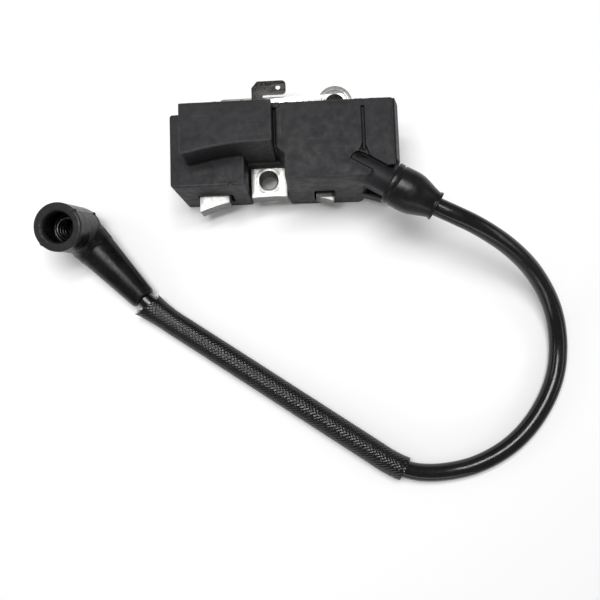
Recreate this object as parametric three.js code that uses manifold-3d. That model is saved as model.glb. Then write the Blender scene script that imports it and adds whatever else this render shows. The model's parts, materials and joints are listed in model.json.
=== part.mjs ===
// Ignition coil of a small two-stroke engine: an E-core with a moulded coil case, a kill-switch
// terminal, and a high-tension lead that ends in an elbow boot for the spark plug.
// Millimetres, +Z up. X runs along the case, the poles face -Y, and the case stands on z = 0.
import * as THREE from 'three';
import { mergeVertices } from 'three/addons/utils/BufferGeometryUtils.js';
import Module from 'manifold-3d';

const wasm = await Module();
wasm.setup();

// ---------------------------------------------------------------- driving dimensions
const gap = 0.3;                 // clearance between pieces that fit in each other
const wall = 1.6;                // moulded wall of the case

// case: left block, raised electronics box, web between the blocks, right block
const leftBlock = { x0: -35.8, x1: -14.0, y0: -13.55, y1: 8.35, top: 24.5 };
const raisedBox = { x0: -30.8, x1: -4.95, y0: -4.7, y1: 7.35, top: 35, corner: -7.25 };
const raisedFront = { bendX: -19.8, straightX: -12.3, radius: 1.2 };  // curve of the raised box's front
const raisedBack = { x1: -4.35, radius: 0.5 };            // its far right corner reaches further right
const web = { x1: -1.95, y0: -5.35, y1: 7.85, top: 17, floor: 1.0 };
const rightBlock = { x0: -4.1, x1: 29.3, y0: -13.95, y1: 8.3, top: 30, frontSlant: 0.3 };
const seam = { y0: -4.0, y1: 8.0, top: 28.6 };            // low strip between raised box and right block
const rightLedge = { x1: 31.2, y0: -9.45, top: 24 };      // end of the right block, sloping to its top
const ledgeSlope = { x: 29.7, top: 29.4 };
const cornerRadius = 0.8;
const screwRecess = { x: -1.95, y1: -3.45 };              // hollow in the right block beside the screw
const recessCurve = [[-4.1, -5.25], [-3.0, -5.45], [-1.95, -5.65], [-1.95, -6.65]];
const cornerNotch = { x: 22.6, y: -11.25, radius: 2.6 };  // where the right block makes way for the tower
const topGroove = { x: 20.6, width: 1.2, depth: 0.7, y0: -6.45, y1: 6.15 };

// laminated core, an E whose three poles face the flywheel
const core = { bottom: 5.5, top: 12, sheets: 8, sheetGap: 0.06 };
const leftLeg = { x0: -29.6, x1: -20.4 };
const middleLeg = { x0: -13.3, x1: -2.3 };
const rightLeg = { x0: 6.6, x1: 12.0, setback: 1.0 };
const yoke = { y0: 9.05, y1: 17.6, chamferX: 7.8, chamferY: 5.6 };
const flywheel = { x: -7.8, radius: 62, poleY: -14.15 };  // arc on which the poles end
const poleHole = { x: -8.0, y: -9.05, radius: 2.65, slot: 0.6 };
const ear = { x: 13.45, y: 14.85, radius: 5.4, hole: 2.7 };
const rivet = { radius: 1.2, head: 2.0, headHeight: 0.7, clearance: 0.1 };
const rivetPlaces = [[-24, 13.15], [-7.8, 13.15], [4.6, 13.15]];

// openings in the case's front, where the poles come out
const leftWindow = { x0: -29.9, x1: -19.3, top: 13.6 };
const rightWindow = { x0: 6.1, x1: 12.3, top: 15.3 };

// inside of the right block, low under the tower and high beside it and behind it
const rightInside = { lowTop: 20, highBottom: 19, besideX: 13.2, behindX: 13, behindY: -2.25 };

// kill-switch terminal, a 4.8 mm blade that lies along the case
const blade = { x0: -12.4, x1: -1.65, y0: 17.55, y1: 21.95, z0: 13.5, thickness: 0.8 };
const bladeTip = { length: 1.0, nearSide: 1.2, farSide: 1.3 };
const bladeChamfer = { x: 1.8, y: 2.1 };
const bladeHole = { radius: 0.75, fromTip: 2.45 };
const bladeStem = { x1: -8.9, y0: 4.55 };

// tower that the lead plugs into, and the rubber boot over its mouth
const tower = { x: 17.55, y: -8.85, z: 25.5, turn: -31, radius: 3.9, reach: 35.8, boreStart: 5.5 };
const rib = { s0: 3, s1: 11.8, t0: -2.2, t1: -0.4, z0: 16, z1: 23 };  // along and beside the tower
const slot = { start: 1.8, end: 25, farSide: 2.8, nearSide: -0.6 };
const foot = { corners: [[19.5, -13.0], [27.6, -15.8], [27.6, -16.5], [19.5, -13.8]], z0: 6, z1: 11 };
const footFloor = { corners: [[19.5, -11], [27.6, -11], [27.6, -16], [19.5, -13.2]], top: 7 };
const spike = { start: 3.4, radius: 0.8, hole: 1.1 };
const wireShaft = { along: 1.6, radius: 0.9, bottom: 18 };
const reliefStart = 12.2;        // distance from the tower's root to the boot's mouth
const reliefLength = 14.8;

// high-tension lead, braided sleeve and spark-plug boot
const leadDiameter = 5.4;
const conductorDiameter = 1.8;
const sleeve = { outer: 7.7, inner: 6.5 };
const plugHead = { radius: 7.4, bore: 4.8, boreDepth: 13.5, chamfer: 0.6 };
const plugTail = { rootRadius: 6.2, rootFlare: 0.6, rootLength: 9, endRadius: 3.95, bore: 3.05 };
const plugTailRound = { radius: 0.3, start: 1.2 };

// Centre line of the lead, from inside the tower to inside the plug boot. It leaves the tower level,
// sinks to the surface under the part, and runs straight through the sleeve.
const leadRoute = [
  [25.3, -13.45, 25.5], [33, -18.15, 25.5], [40.7, -22.75, 25.5], [45.9, -25.45, 25.4],
  [51.1, -27.95, 24.4], [56.2, -30.65, 22.5], [60.9, -33.35, 20.05], [65.3, -36.35, 17.2],
  [69.3, -39.55, 14.1], [72.9, -43.35, 11], [76, -47.65, 8.1], [78.4, -52.55, 5.7],
  [79.8, -58.05, 3.9], [80.1, -63.95, 2.95], [79.3, -69.95, 2.75], [77.4, -75.75, 2.75],
  [74.6, -81.15, 2.75], [71.1, -86.15, 2.75], [67, -90.55, 2.75], [62.3, -94.25, 2.75],
  [57.1, -97.15, 2.75], [51.4, -99.35, 2.75], [45.3, -100.6, 2.75], [39, -100.95, 3.1],
  [34, -100.4, 3.6], [29.6, -99, 3.95], [25.5, -96.8, 3.9], [20, -93.05, 3.9],
  [-1, -78.7, 3.9], [-22, -64.35, 3.9], [-36, -54.8, 3.9], [-42, -50.65, 3.9],
  [-48.5, -44.9, 4.25], [-51.9, -41.15, 4.75], [-57.9, -34.5, 5.65], [-65.6, -25.95, 6.85],
];
const sleeveSpan = { start: 25, end: 31.7 };    // places on the route, counted in its points
const plugElbow = [-69.95, -21.15, 7.5];
const plugTailEnd = [-49.7, -43.65, 4.4];
const plugMouth = [-70.7, -23.05, 21.6];
const plugSpring = { radius: 3.3, wire: 0.5, turns: 3.5, length: 6.2, start: 1.0 };

// coils: half sizes across a leg, and places along Y
const flangeThickness = 0.7;
const charge = {
  tube: [5.8, 4.5], bore: [4.9, 3.55], flange: [8.4, 7.0], flanges: [-11.15, 5.05], thickness: 0.9,
  winding: { outer: [8.0, 6.6], inner: [6.1, 4.8], y0: -9.95, y1: 4.75 },
};
const primary = {
  tube: [3.7, 4.2], bore: [3.0, 3.55], flange: [4.7, 5.2], flanges: [-11.45, 5.15],
  thickness: flangeThickness,
  winding: { outer: [4.5, 5.0], inner: [4.0, 4.5], y0: -10.45, y1: 4.85 },
};
const secondary = {
  tube: [5.8, 6.2], bore: [5.0, 5.5], flange: [8.0, 7.2], slots: 5, start: -11.05, pitch: 3.3,
  outer: [7.6, 6.9], inner: [6.1, 6.5], sideGap: 0.2,
};

// electronics, with the parts standing on the board
const board = { x0: -28.3, x1: -7.3, y0: -2.65, y1: 5.15, z0: 20.5, z1: 21.7 };
const dischargeCapacitor = { x0: 0.6, x1: 11.8, y0: -11.05, y1: 5.35, z0: 17.2, z1: 27.6, corner: 1.2 };
const pulseCapacitor = { x0: -13.6, x1: -8.2, y0: -1.85, y1: 4.15, height: 7, corner: 0.8 };
const thyristor = { x0: -19.6, x1: -15.2, y0: -1.65, y1: 1.75, height: 5.2, corner: 0.6 };
const diode = { radius: 1.35, y0: -1.45, y1: 3.75, places: [-26.2, -22.4] };
const resistor = { radius: 0.9, x0: -19.4, x1: -15.4, y: 3.75 };
const trigger = { y: -8.55, z: 19.2, outer: 3.0, inner: 1.9, x0: -23.2, x1: -18.8 };
const triggerCore = { radius: 1.6, x0: -24, x1: -18 };
const wireRadius = 0.45;
const outputWireHeights = [17.0, 20, 23, 25.4];
const groundWireRoute = [
  [-10.5, -1.45, 20.1], [-10.5, -1.45, 18.0], [-10.6, -1.05, 16.2], [-10.8, 0.15, 14.6],
];

// ---------------------------------------------------------------- shape helpers
const radians = THREE.MathUtils.degToRad;

function solid(geometry) {
  const bare = geometry.clone();
  bare.deleteAttribute('normal');
  bare.deleteAttribute('uv');
  const merged = mergeVertices(bare, 1e-4);
  return new wasm.Manifold(new wasm.Mesh({
    numProp: 3,
    vertProperties: new Float32Array(merged.attributes.position.array),
    triVerts: new Uint32Array(merged.index.array),
  }));
}

function geometryOf(manifold) {
  const mesh = manifold.getMesh();
  const geometry = new THREE.BufferGeometry();
  geometry.setAttribute('position', new THREE.BufferAttribute(mesh.vertProperties, 3));
  geometry.setIndex(new THREE.BufferAttribute(mesh.triVerts, 1));
  geometry.computeVertexNormals();
  return geometry;
}

function union(...geometries) {
  return geometries.map(solid).reduce((all, next) => all.add(next));
}

function cut(body, ...tools) {
  return tools.reduce((rest, tool) => rest.subtract(solid(tool)), body);
}

function block(x0, x1, y0, y1, z0, z1) {
  const geometry = new THREE.BoxGeometry(x1 - x0, y1 - y0, z1 - z0);
  geometry.translate((x0 + x1) / 2, (y0 + y1) / 2, (z0 + z1) / 2);
  return geometry;
}

function prism(shape, z0, z1, curveSegments = 4) {
  const depth = z1 - z0;
  const geometry = new THREE.ExtrudeGeometry(shape, { depth, bevelEnabled: false, curveSegments });
  geometry.translate(0, 0, z0);
  return geometry;
}

function roundedRectangle(x0, x1, y0, y1, radius) {
  const shape = new THREE.Shape();
  shape.moveTo(x0 + radius, y0);
  shape.lineTo(x1 - radius, y0);
  shape.absarc(x1 - radius, y0 + radius, radius, -Math.PI / 2, 0);
  shape.lineTo(x1, y1 - radius);
  shape.absarc(x1 - radius, y1 - radius, radius, 0, Math.PI / 2);
  shape.lineTo(x0 + radius, y1);
  shape.absarc(x0 + radius, y1 - radius, radius, Math.PI / 2, Math.PI);
  shape.lineTo(x0, y0 + radius);
  shape.absarc(x0 + radius, y0 + radius, radius, Math.PI, 1.5 * Math.PI);
  return shape;
}

// A ring or rod about the line from one point to another, with a profile of [radius, distance] pairs.
function turned(profile, from, to, segments) {
  const points = profile.map(([radius, along]) => new THREE.Vector2(radius, along));
  const geometry = new THREE.LatheGeometry(points, segments);
  const start = new THREE.Vector3(...from);
  const axis = new THREE.Vector3(...to).sub(start).normalize();
  geometry.applyQuaternion(new THREE.Quaternion().setFromUnitVectors(new THREE.Vector3(0, 1, 0), axis));
  geometry.translate(start.x, start.y, start.z);
  return geometry;
}

function distance(from, to) {
  return new THREE.Vector3(...from).distanceTo(new THREE.Vector3(...to));
}

function rod(from, to, radius, segments = 12) {
  const length = distance(from, to);
  return turned([[0, 0], [radius, 0], [radius, length], [0, length]], from, to, segments);
}

function tube(from, to, outer, inner, segments = 16) {
  const length = distance(from, to);
  const profile = [[inner, 0], [outer, 0], [outer, length], [inner, length], [inner, 0]];
  return turned(profile, from, to, segments);
}

function routeCurve(points) {
  const places = points.map((point) => new THREE.Vector3(...point));
  return new THREE.CatmullRomCurve3(places, false, 'centripetal');
}

function circle(radius, sides) {
  return Array.from({ length: sides }, (_, i) => {
    const angle = (2 * Math.PI * i) / sides;
    return new THREE.Vector2(radius * Math.cos(angle), radius * Math.sin(angle));
  });
}

function swept(points, radius, sides, steps, bore = 0, boreSides = 6) {
  const shape = new THREE.Shape(circle(radius, sides));
  if (bore > 0) {
    shape.holes.push(new THREE.Path(circle(bore, boreSides).reverse()));
  }
  const extrudePath = routeCurve(points);
  return new THREE.ExtrudeGeometry(shape, { steps, bevelEnabled: false, extrudePath });
}

// A point at a distance along the tower's axis, and beside it.
function onTower(along, beside = 0, z = tower.z) {
  const turn = radians(tower.turn);
  const x = tower.x + along * Math.cos(turn) - beside * Math.sin(turn);
  const y = tower.y + along * Math.sin(turn) + beside * Math.cos(turn);
  return [x, y, z];
}

// A shape drawn along and beside the tower's axis, set into the case's frame.
function besideTower(shape, z0, z1, curveSegments = 4) {
  const geometry = prism(shape, z0, z1, curveSegments);
  geometry.rotateZ(radians(tower.turn));
  geometry.translate(tower.x, tower.y, 0);
  return geometry;
}

function finish(color, roughness, metalness = 0) {
  return new THREE.MeshStandardMaterial({ color, roughness, metalness });
}

const finishes = {
  case: () => finish(0x26272b, 0.55),
  potting: () => finish(0x1b1a19, 0.4),
  steel: () => finish(0xc9cacb, 0.35, 0.9),
  rivet: () => finish(0xa8a9aa, 0.4, 0.9),
  blade: () => finish(0x6a6660, 0.5, 0.8),
  rubber: () => finish(0x202022, 0.7),
  lead: () => finish(0x121214, 0.25),
  copper: () => finish(0xa35a2c, 0.4, 0.8),
  braid: () => finish(0x1d1d1f, 0.6),
  bobbin: () => finish(0x3a352c, 0.6),
  board: () => finish(0x2f6b3a, 0.6),
  capacitor: () => finish(0x2f5fa0, 0.5),
  silicon: () => finish(0x18181a, 0.5),
  resistor: () => finish(0xc9a673, 0.6),
  brass: () => finish(0xb89444, 0.35, 0.9),
};

const assembly = new THREE.Group();

function addPiece(name, shape, finishName) {
  const geometry = shape.isBufferGeometry ? shape : geometryOf(shape);
  const mesh = new THREE.Mesh(geometry, finishes[finishName]());
  mesh.name = name;
  assembly.add(mesh);
}

// ---------------------------------------------------------------- case
// The raised box has a slanting front that eases into a straight stretch over the web.
function raisedOutline(inset) {
  const { x0, x1, y0, y1, corner } = raisedBox;
  const { bendX, straightX, radius } = raisedFront;
  const shape = new THREE.Shape();
  shape.moveTo(x0 + inset, y1 - inset);
  shape.lineTo(x0 + inset, corner + radius + inset);
  shape.quadraticCurveTo(x0 + inset, corner + inset, x0 + radius + inset, corner + inset);
  shape.quadraticCurveTo(bendX, y0 + inset, straightX, y0 + inset);
  shape.lineTo(x1 - inset, y0 + inset);
  const backX = raisedBack.x1 - inset;
  shape.lineTo(backX, y1 - raisedBack.radius - inset);
  shape.quadraticCurveTo(backX, y1 - inset, backX - raisedBack.radius, y1 - inset);
  return shape;
}

function rightOutline() {
  const { x0, x1, y0, y1, frontSlant } = rightBlock;
  const radius = cornerRadius;
  const notch = cornerNotch.radius;
  const shape = new THREE.Shape();
  shape.moveTo(screwRecess.x + radius, y0);
  shape.lineTo(cornerNotch.x - notch, y0 - frontSlant);
  shape.absarc(cornerNotch.x - notch, y0 - frontSlant + notch, notch, -Math.PI / 2, 0);
  shape.lineTo(cornerNotch.x, cornerNotch.y);
  shape.lineTo(x1, cornerNotch.y);
  shape.lineTo(x1, y1 - radius);
  shape.absarc(x1 - radius, y1 - radius, radius, 0, Math.PI / 2);
  shape.lineTo(x0 + radius, y1);
  shape.absarc(x0 + radius, y1 - radius, radius, Math.PI / 2, Math.PI);
  const [bend, middle, secondBend, end] = recessCurve;
  shape.lineTo(x0, screwRecess.y1);
  shape.quadraticCurveTo(...bend, ...middle);
  shape.quadraticCurveTo(...secondBend, ...end);
  shape.lineTo(screwRecess.x, y0 + radius);
  shape.absarc(screwRecess.x + radius, y0 + radius, radius, Math.PI, 1.5 * Math.PI);
  return shape;
}

// Slot in the top of the right block, a valley along the far side of the tower.
function towerSlot() {
  const { start, end, farSide, nearSide } = slot;
  const shape = new THREE.Shape();
  shape.moveTo(end, nearSide);
  shape.lineTo(end, farSide);
  shape.lineTo(start, farSide);
  shape.absarc(start, 0, farSide, Math.PI / 2, Math.PI);
  shape.lineTo(start - farSide, nearSide);
  return besideTower(shape, tower.z, rightBlock.top + 1, 6);
}

function ledgeOutside() {
  const shape = new THREE.Shape();
  shape.moveTo(rightBlock.x1 - 3, 0);
  shape.lineTo(rightLedge.x1, 0);
  shape.lineTo(rightLedge.x1, rightLedge.top);
  shape.lineTo(ledgeSlope.x, ledgeSlope.top);
  shape.lineTo(rightBlock.x1 - 3, ledgeSlope.top);
  const geometry = prism(shape, -rightBlock.y1, -rightLedge.y0);
  const upright = new THREE.Matrix4().set(1, 0, 0, 0, 0, 0, -1, 0, 0, 1, 0, 0, 0, 0, 0, 1);
  geometry.applyMatrix4(upright);
  return geometry;
}

function polygonShape(corners) {
  return new THREE.Shape(corners.map(([x, y]) => new THREE.Vector2(x, y)));
}

function caseOutside() {
  const { x0, x1, y0, y1, top } = leftBlock;
  const left = prism(roundedRectangle(x0, x1, y0, y1, cornerRadius), 0, top);
  const raised = prism(raisedOutline(0), web.top - 1, raisedBox.top, 8);
  const bridge = block(x1 - 1, web.x1, web.y0, web.y1, core.top + gap, web.top);
  const right = prism(rightOutline(), 0, rightBlock.top, 6);
  const strip = block(raisedBox.x1 - 1, rightBlock.x0 + 1, seam.y0, seam.y1, web.top - 1, seam.top);
  const footRib = prism(polygonShape(foot.corners), foot.z0, foot.z1);
  const footPlate = prism(polygonShape(footFloor.corners), foot.z0, footFloor.top);
  return union(left, raised, bridge, strip, right, ledgeOutside(), footRib, footPlate);
}

// The tower's rim ends at its reach along X.
const towerRim = Math.abs(Math.sin(radians(tower.turn))) * tower.radius;
const towerLength = (tower.reach - towerRim - tower.x) / Math.cos(radians(tower.turn));

function towerOutside() {
  const dome = Array.from({ length: 5 }, (_, i) => {
    const angle = radians(-90 + 22.5 * i);
    return [tower.radius * Math.cos(angle), tower.radius * Math.sin(angle)];
  });
  dome[0][0] = 0;
  const profile = [...dome, [tower.radius, towerLength], [0, towerLength]];
  return turned(profile, onTower(0), onTower(1), 28);
}

function supportRib() {
  const shape = new THREE.Shape();
  shape.moveTo(rib.s0, rib.t0);
  shape.lineTo(rib.s1, rib.t0);
  shape.lineTo(rib.s1, rib.t1);
  shape.lineTo(rib.s0, rib.t1);
  return besideTower(shape, rib.z0, rib.z1);
}

function caseCavities() {
  const lidLeft = leftBlock.top - wall;
  const lidRight = rightBlock.top - wall;
  const back = rightBlock.y1 - wall;
  const left = block(
    leftBlock.x0 + wall, leftBlock.x1 - wall, leftBlock.y0 + wall, leftBlock.y1 - wall, -1, lidLeft);
  const raised = prism(raisedOutline(wall), web.top + 1, raisedBox.top - wall, 8);
  const overWeb = block(
    leftBlock.x1, raisedBox.x1 - wall, raisedBox.y0 + wall, raisedBox.y1 - wall,
    core.top + gap + web.floor, web.top + 2);
  const { lowTop, highBottom, besideX, behindX, behindY } = rightInside;
  const inLeft = screwRecess.x + wall;
  const inRight = rightBlock.x1 - wall;
  const inFront = rightBlock.y0 + wall;
  const rightLow = block(inLeft, inRight, cornerNotch.y + wall, back, -1, lowTop);
  const rightFront = block(inLeft, cornerNotch.x - wall, inFront, back, -1, lowTop);
  const rightHigh = block(inLeft, besideX, inFront, back, highBottom, lidRight);
  const behindTower = block(behindX, inRight, behindY, back, highBottom, lidRight);
  return [left, raised, overWeb, rightLow, rightFront, rightHigh, behindTower];
}

function caseWindows() {
  const sill = core.bottom - gap;
  const lintel = core.top + gap;
  const { x0, x1 } = leftWindow;
  const right = rightWindow;
  const leftFront = block(x0, x1, leftBlock.y0 - 1, leftBlock.y0 + 2, sill, leftWindow.top);
  const leftBack = block(x0, leftLeg.x1 + gap, leftBlock.y1 - 2, leftBlock.y1 + 1, sill, lintel);
  const rightFront = block(right.x0, right.x1, rightBlock.y0 - 1, rightBlock.y0 + 2, sill, right.top);
  const rightBack = block(rightLeg.x0 - gap, right.x1, rightBlock.y1 - 2, rightBlock.y1 + 1, sill, lintel);
  const underWeb = block(leftBlock.x1, screwRecess.x, rightBlock.y0 - 1, leftBlock.y1 + 1, -1, lintel);
  const stem = block(
    blade.x0 - gap, bladeStem.x1 + gap, raisedBox.y1 - wall - 1, web.y1 + 1,
    blade.z0 - gap, blade.z0 + blade.thickness + gap);
  return [leftFront, leftBack, rightFront, rightBack, underWeb, stem];
}

function coilCase() {
  const groove = block(
    topGroove.x - topGroove.width / 2, topGroove.x + topGroove.width / 2,
    topGroove.y0, topGroove.y1, rightBlock.top - topGroove.depth, rightBlock.top + 1);
  const bore = rod(onTower(tower.boreStart), onTower(tower.reach), leadDiameter / 2 + gap, 20);
  const spikeHole = rod(onTower(1), onTower(tower.boreStart + 1), spike.hole, 10);
  const shaftBottom = onTower(wireShaft.along, 0, wireShaft.bottom);
  const wireHole = rod(shaftBottom, onTower(wireShaft.along), wireShaft.radius, 10);
  const outside = caseOutside().subtract(solid(towerSlot()));
  const body = outside.add(solid(towerOutside())).add(solid(supportRib()));
  return cut(body, groove, bore, spikeHole, wireHole, ...caseCavities(), ...caseWindows());
}

addPiece('coil_case', coilCase(), 'case');

// Epoxy that closes the open underside of each block.
const potting = { z0: 0.3, z1: 1.2 };
addPiece('potting_compound_left', block(
  leftBlock.x0 + wall + gap, leftBlock.x1 - wall - gap,
  leftBlock.y0 + wall + gap, leftBlock.y1 - wall - gap, potting.z0, potting.z1), 'potting');
addPiece('potting_compound_right', union(
  block(screwRecess.x + wall + gap, rightBlock.x1 - wall - gap,
    cornerNotch.y + wall + gap, rightBlock.y1 - wall - gap, potting.z0, potting.z1),
  block(screwRecess.x + wall + gap, cornerNotch.x - wall - gap,
    rightBlock.y0 + wall + gap, rightBlock.y1 - wall - gap, potting.z0, potting.z1)), 'potting');

// ---------------------------------------------------------------- laminated core
function poleY(x, setback = 0) {
  const drop = flywheel.radius - Math.sqrt(flywheel.radius ** 2 - (x - flywheel.x) ** 2);
  return flywheel.poleY - drop + setback;
}

function sheetShape() {
  const shape = new THREE.Shape();
  const poleEnd = (leg) => {
    const middle = (leg.x0 + leg.x1) / 2;
    [leg.x0, middle, leg.x1].forEach((x) => shape.lineTo(x, poleY(x, leg.setback)));
  };
  shape.moveTo(leftLeg.x0, 0);
  poleEnd(leftLeg);
  shape.lineTo(leftLeg.x1, yoke.y0);
  shape.lineTo(middleLeg.x0, yoke.y0);
  poleEnd(middleLeg);
  shape.lineTo(middleLeg.x1, yoke.y0);
  shape.lineTo(rightLeg.x0, yoke.y0);
  poleEnd(rightLeg);
  shape.lineTo(rightLeg.x1, yoke.y0);
  const yokeRise = Math.asin((yoke.y1 - ear.y) / ear.radius);
  shape.absarc(ear.x, ear.y, ear.radius, radians(-60), Math.PI - yokeRise);
  shape.lineTo(leftLeg.x0 + yoke.chamferX, yoke.y1);
  shape.lineTo(leftLeg.x0, yoke.y1 - yoke.chamferY);
  return shape;
}

function roundHole(x, y, radius, stretch = 0) {
  const path = new THREE.Path();
  path.absarc(x, y + stretch / 2, radius, 0, Math.PI);
  path.absarc(x, y - stretch / 2, radius, Math.PI, 2 * Math.PI);
  return path;
}

const sheetPitch = (core.top - core.bottom + core.sheetGap) / core.sheets;
for (let i = 0; i < core.sheets; i += 1) {
  const shape = sheetShape();
  shape.holes.push(roundHole(poleHole.x, poleHole.y, poleHole.radius, poleHole.slot));
  shape.holes.push(roundHole(ear.x, ear.y, ear.hole));
  rivetPlaces.forEach(([x, y]) => shape.holes.push(roundHole(x, y, rivet.radius + rivet.clearance)));
  const z0 = core.bottom + i * sheetPitch;
  const name = `core_lamination_${String(i + 1).padStart(2, '0')}`;
  addPiece(name, prism(shape, z0, z0 + sheetPitch - core.sheetGap), 'steel');
}

// The heads stand half of the clearance off the stack.
rivetPlaces.forEach(([x, y], i) => {
  const { radius, head, headHeight, clearance } = rivet;
  const z0 = core.bottom - headHeight - clearance / 2;
  const shankEnd = headHeight + clearance + core.top - core.bottom;
  const end = shankEnd + headHeight;
  const crown = head * 0.7;
  const shoulder = headHeight * 0.4;
  const profile = [
    [0, 0], [crown, 0], [head, headHeight - shoulder], [head, headHeight], [radius, headHeight],
    [radius, shankEnd], [head, shankEnd], [head, shankEnd + shoulder], [crown, end], [0, end]];
  addPiece(`core_rivet_${i + 1}`, turned(profile, [x, y, z0], [x, y, z0 + 1], 8), 'rivet');
});

// ---------------------------------------------------------------- kill-switch terminal
function bladeShape() {
  const { x0, x1, y0, y1 } = blade;
  const shape = new THREE.Shape();
  shape.moveTo(x0, bladeStem.y0);
  shape.lineTo(bladeStem.x1, bladeStem.y0);
  shape.lineTo(bladeStem.x1, y0);
  shape.lineTo(x1 - bladeTip.length, y0);
  shape.lineTo(x1, y0 + bladeTip.nearSide);
  shape.lineTo(x1, y1 - bladeTip.farSide);
  shape.lineTo(x1 - bladeTip.length, y1);
  shape.lineTo(x0 + bladeChamfer.x, y1);
  shape.lineTo(x0, y1 - bladeChamfer.y);
  shape.holes.push(roundHole(x1 - bladeHole.fromTip, (y0 + y1) / 2, bladeHole.radius));
  return shape;
}
addPiece('kill_switch_terminal', prism(bladeShape(), blade.z0, blade.z0 + blade.thickness, 5), 'blade');

// ---------------------------------------------------------------- coils on the legs
// A winding or bobbin wall: a square ring about a leg, along Y. Sizes are halves of its width and height.
function squareRing(leg, outerSize, innerSize, y0, y1) {
  const x = (leg.x0 + leg.x1) / 2;
  const z = (core.bottom + core.top) / 2;
  const across = ([halfX, halfZ], start, end) => block(
    x - halfX, x + halfX, start, end, z - halfZ, z + halfZ);
  return cut(solid(across(outerSize, y0, y1)), across(innerSize, y0 - 1, y1 + 1));
}

function bobbin(leg, { tube: wallSize, bore, flange, flanges, thickness }) {
  const end = flanges[flanges.length - 1] + thickness;
  const rings = flanges.map((y) => squareRing(leg, flange, bore, y, y + thickness));
  return rings.reduce((all, ring) => all.add(ring), squareRing(leg, wallSize, bore, flanges[0], end));
}

function winding(leg, { outer, inner, y0, y1 }) {
  return squareRing(leg, outer, inner, y0, y1);
}

addPiece('charge_bobbin', bobbin(leftLeg, charge), 'bobbin');
addPiece('charge_winding', winding(leftLeg, charge.winding), 'copper');
addPiece('primary_bobbin', bobbin(rightLeg, primary), 'bobbin');
addPiece('primary_winding', winding(rightLeg, primary.winding), 'copper');

const { slots, start: firstSlot, pitch, sideGap } = secondary;
const slotStarts = Array.from({ length: slots + 1 }, (_, i) => firstSlot + i * pitch);
const slotted = { ...secondary, flanges: slotStarts, thickness: flangeThickness };
addPiece('secondary_bobbin', bobbin(rightLeg, slotted), 'bobbin');
for (let i = 0; i < slots; i += 1) {
  const y0 = slotStarts[i] + flangeThickness + sideGap;
  const y1 = slotStarts[i + 1] - sideGap;
  addPiece(`secondary_winding_${i + 1}`, winding(rightLeg, { ...secondary, y0, y1 }), 'copper');
}

// ---------------------------------------------------------------- electronics
const seat = board.z1 + gap;

function roundedBlock({ x0, x1, y0, y1, corner }, z0, z1) {
  return prism(roundedRectangle(x0, x1, y0, y1, corner), z0, z1);
}

addPiece('circuit_board', block(board.x0, board.x1, board.y0, board.y1, board.z0, board.z1), 'board');
addPiece(
  'discharge_capacitor', roundedBlock(dischargeCapacitor, dischargeCapacitor.z0, dischargeCapacitor.z1),
  'capacitor');
addPiece('pulse_capacitor', roundedBlock(pulseCapacitor, seat, seat + pulseCapacitor.height), 'capacitor');
addPiece('thyristor', roundedBlock(thyristor, seat, seat + thyristor.height), 'silicon');

diode.places.forEach((x, i) => {
  const z = seat + diode.radius;
  addPiece(`rectifier_diode_${i + 1}`, rod([x, diode.y0, z], [x, diode.y1, z], diode.radius, 10), 'silicon');
});

const resistorZ = seat + resistor.radius;
const onResistor = (x) => [x, resistor.y, resistorZ];
addPiece('gate_resistor', rod(
  onResistor(resistor.x0), onResistor(resistor.x1), resistor.radius, 10), 'resistor');

const onTrigger = (x) => [x, trigger.y, trigger.z];
addPiece('trigger_core', rod(
  onTrigger(triggerCore.x0), onTrigger(triggerCore.x1), triggerCore.radius, 10), 'silicon');
addPiece('trigger_winding', tube(
  onTrigger(trigger.x0), onTrigger(trigger.x1), trigger.outer, trigger.inner, 14), 'copper');

// ---------------------------------------------------------------- tower contact and inner wires
const spikeProfile = [[0, 0], [spike.radius, 0], [spike.radius, 3.4], [0.55, 4.2], [0, 5.2]];
addPiece('tower_contact_spike', turned(
  spikeProfile, onTower(spike.start), onTower(spike.start + 1), 10), 'brass');
const outputWireRoute = outputWireHeights.map((z) => onTower(wireShaft.along, 0, z));
addPiece('output_wire', swept(outputWireRoute, wireRadius, 8, 6), 'copper');
addPiece('ground_wire', swept(groundWireRoute, wireRadius, 8, 8), 'copper');

// ---------------------------------------------------------------- strain relief on the tower
const reliefBore = leadDiameter / 2 + gap;
const reliefSocket = tower.radius + gap;
const socketDepth = towerLength - reliefStart + gap;
const reliefProfile = [
  [reliefSocket, 0], [5.7, 0], [6.1, 0.4], [6.1, 1.6], [5.85, 1.9], [6.05, 2.4], [6.1, 6.2], [5.75, 8.4],
  [4.9, 10.8], [4.05, 13.6], [3.95, 14.2], [4.2, 14.5], [4.1, reliefLength], [reliefBore, reliefLength],
  [reliefBore, socketDepth], [reliefSocket, socketDepth], [reliefSocket, 0]];
addPiece('strain_relief_boot', turned(
  reliefProfile, onTower(reliefStart), onTower(reliefStart + 1), 24), 'rubber');

// ---------------------------------------------------------------- high-tension lead
const leadSteps = 52;
const conductorRadius = conductorDiameter / 2;
const insulationBore = conductorRadius + 0.25;
addPiece('ht_lead_insulation', swept(leadRoute, leadDiameter / 2, 10, leadSteps, insulationBore), 'lead');
addPiece('ht_lead_conductor', swept(leadRoute, conductorRadius, 6, leadSteps), 'copper');

// The sleeve follows the lead between two places on its route.
function sleeveRoute() {
  const curve = routeCurve(leadRoute);
  const last = leadRoute.length - 1;
  const stations = 14;
  return Array.from({ length: stations + 1 }, (_, i) => {
    const place = sleeveSpan.start + ((sleeveSpan.end - sleeveSpan.start) * i) / stations;
    return curve.getPoint(place / last).toArray();
  });
}
addPiece('braided_sleeve', swept(sleeveRoute(), sleeve.outer / 2, 14, 16, sleeve.inner / 2, 14), 'braid');

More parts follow.
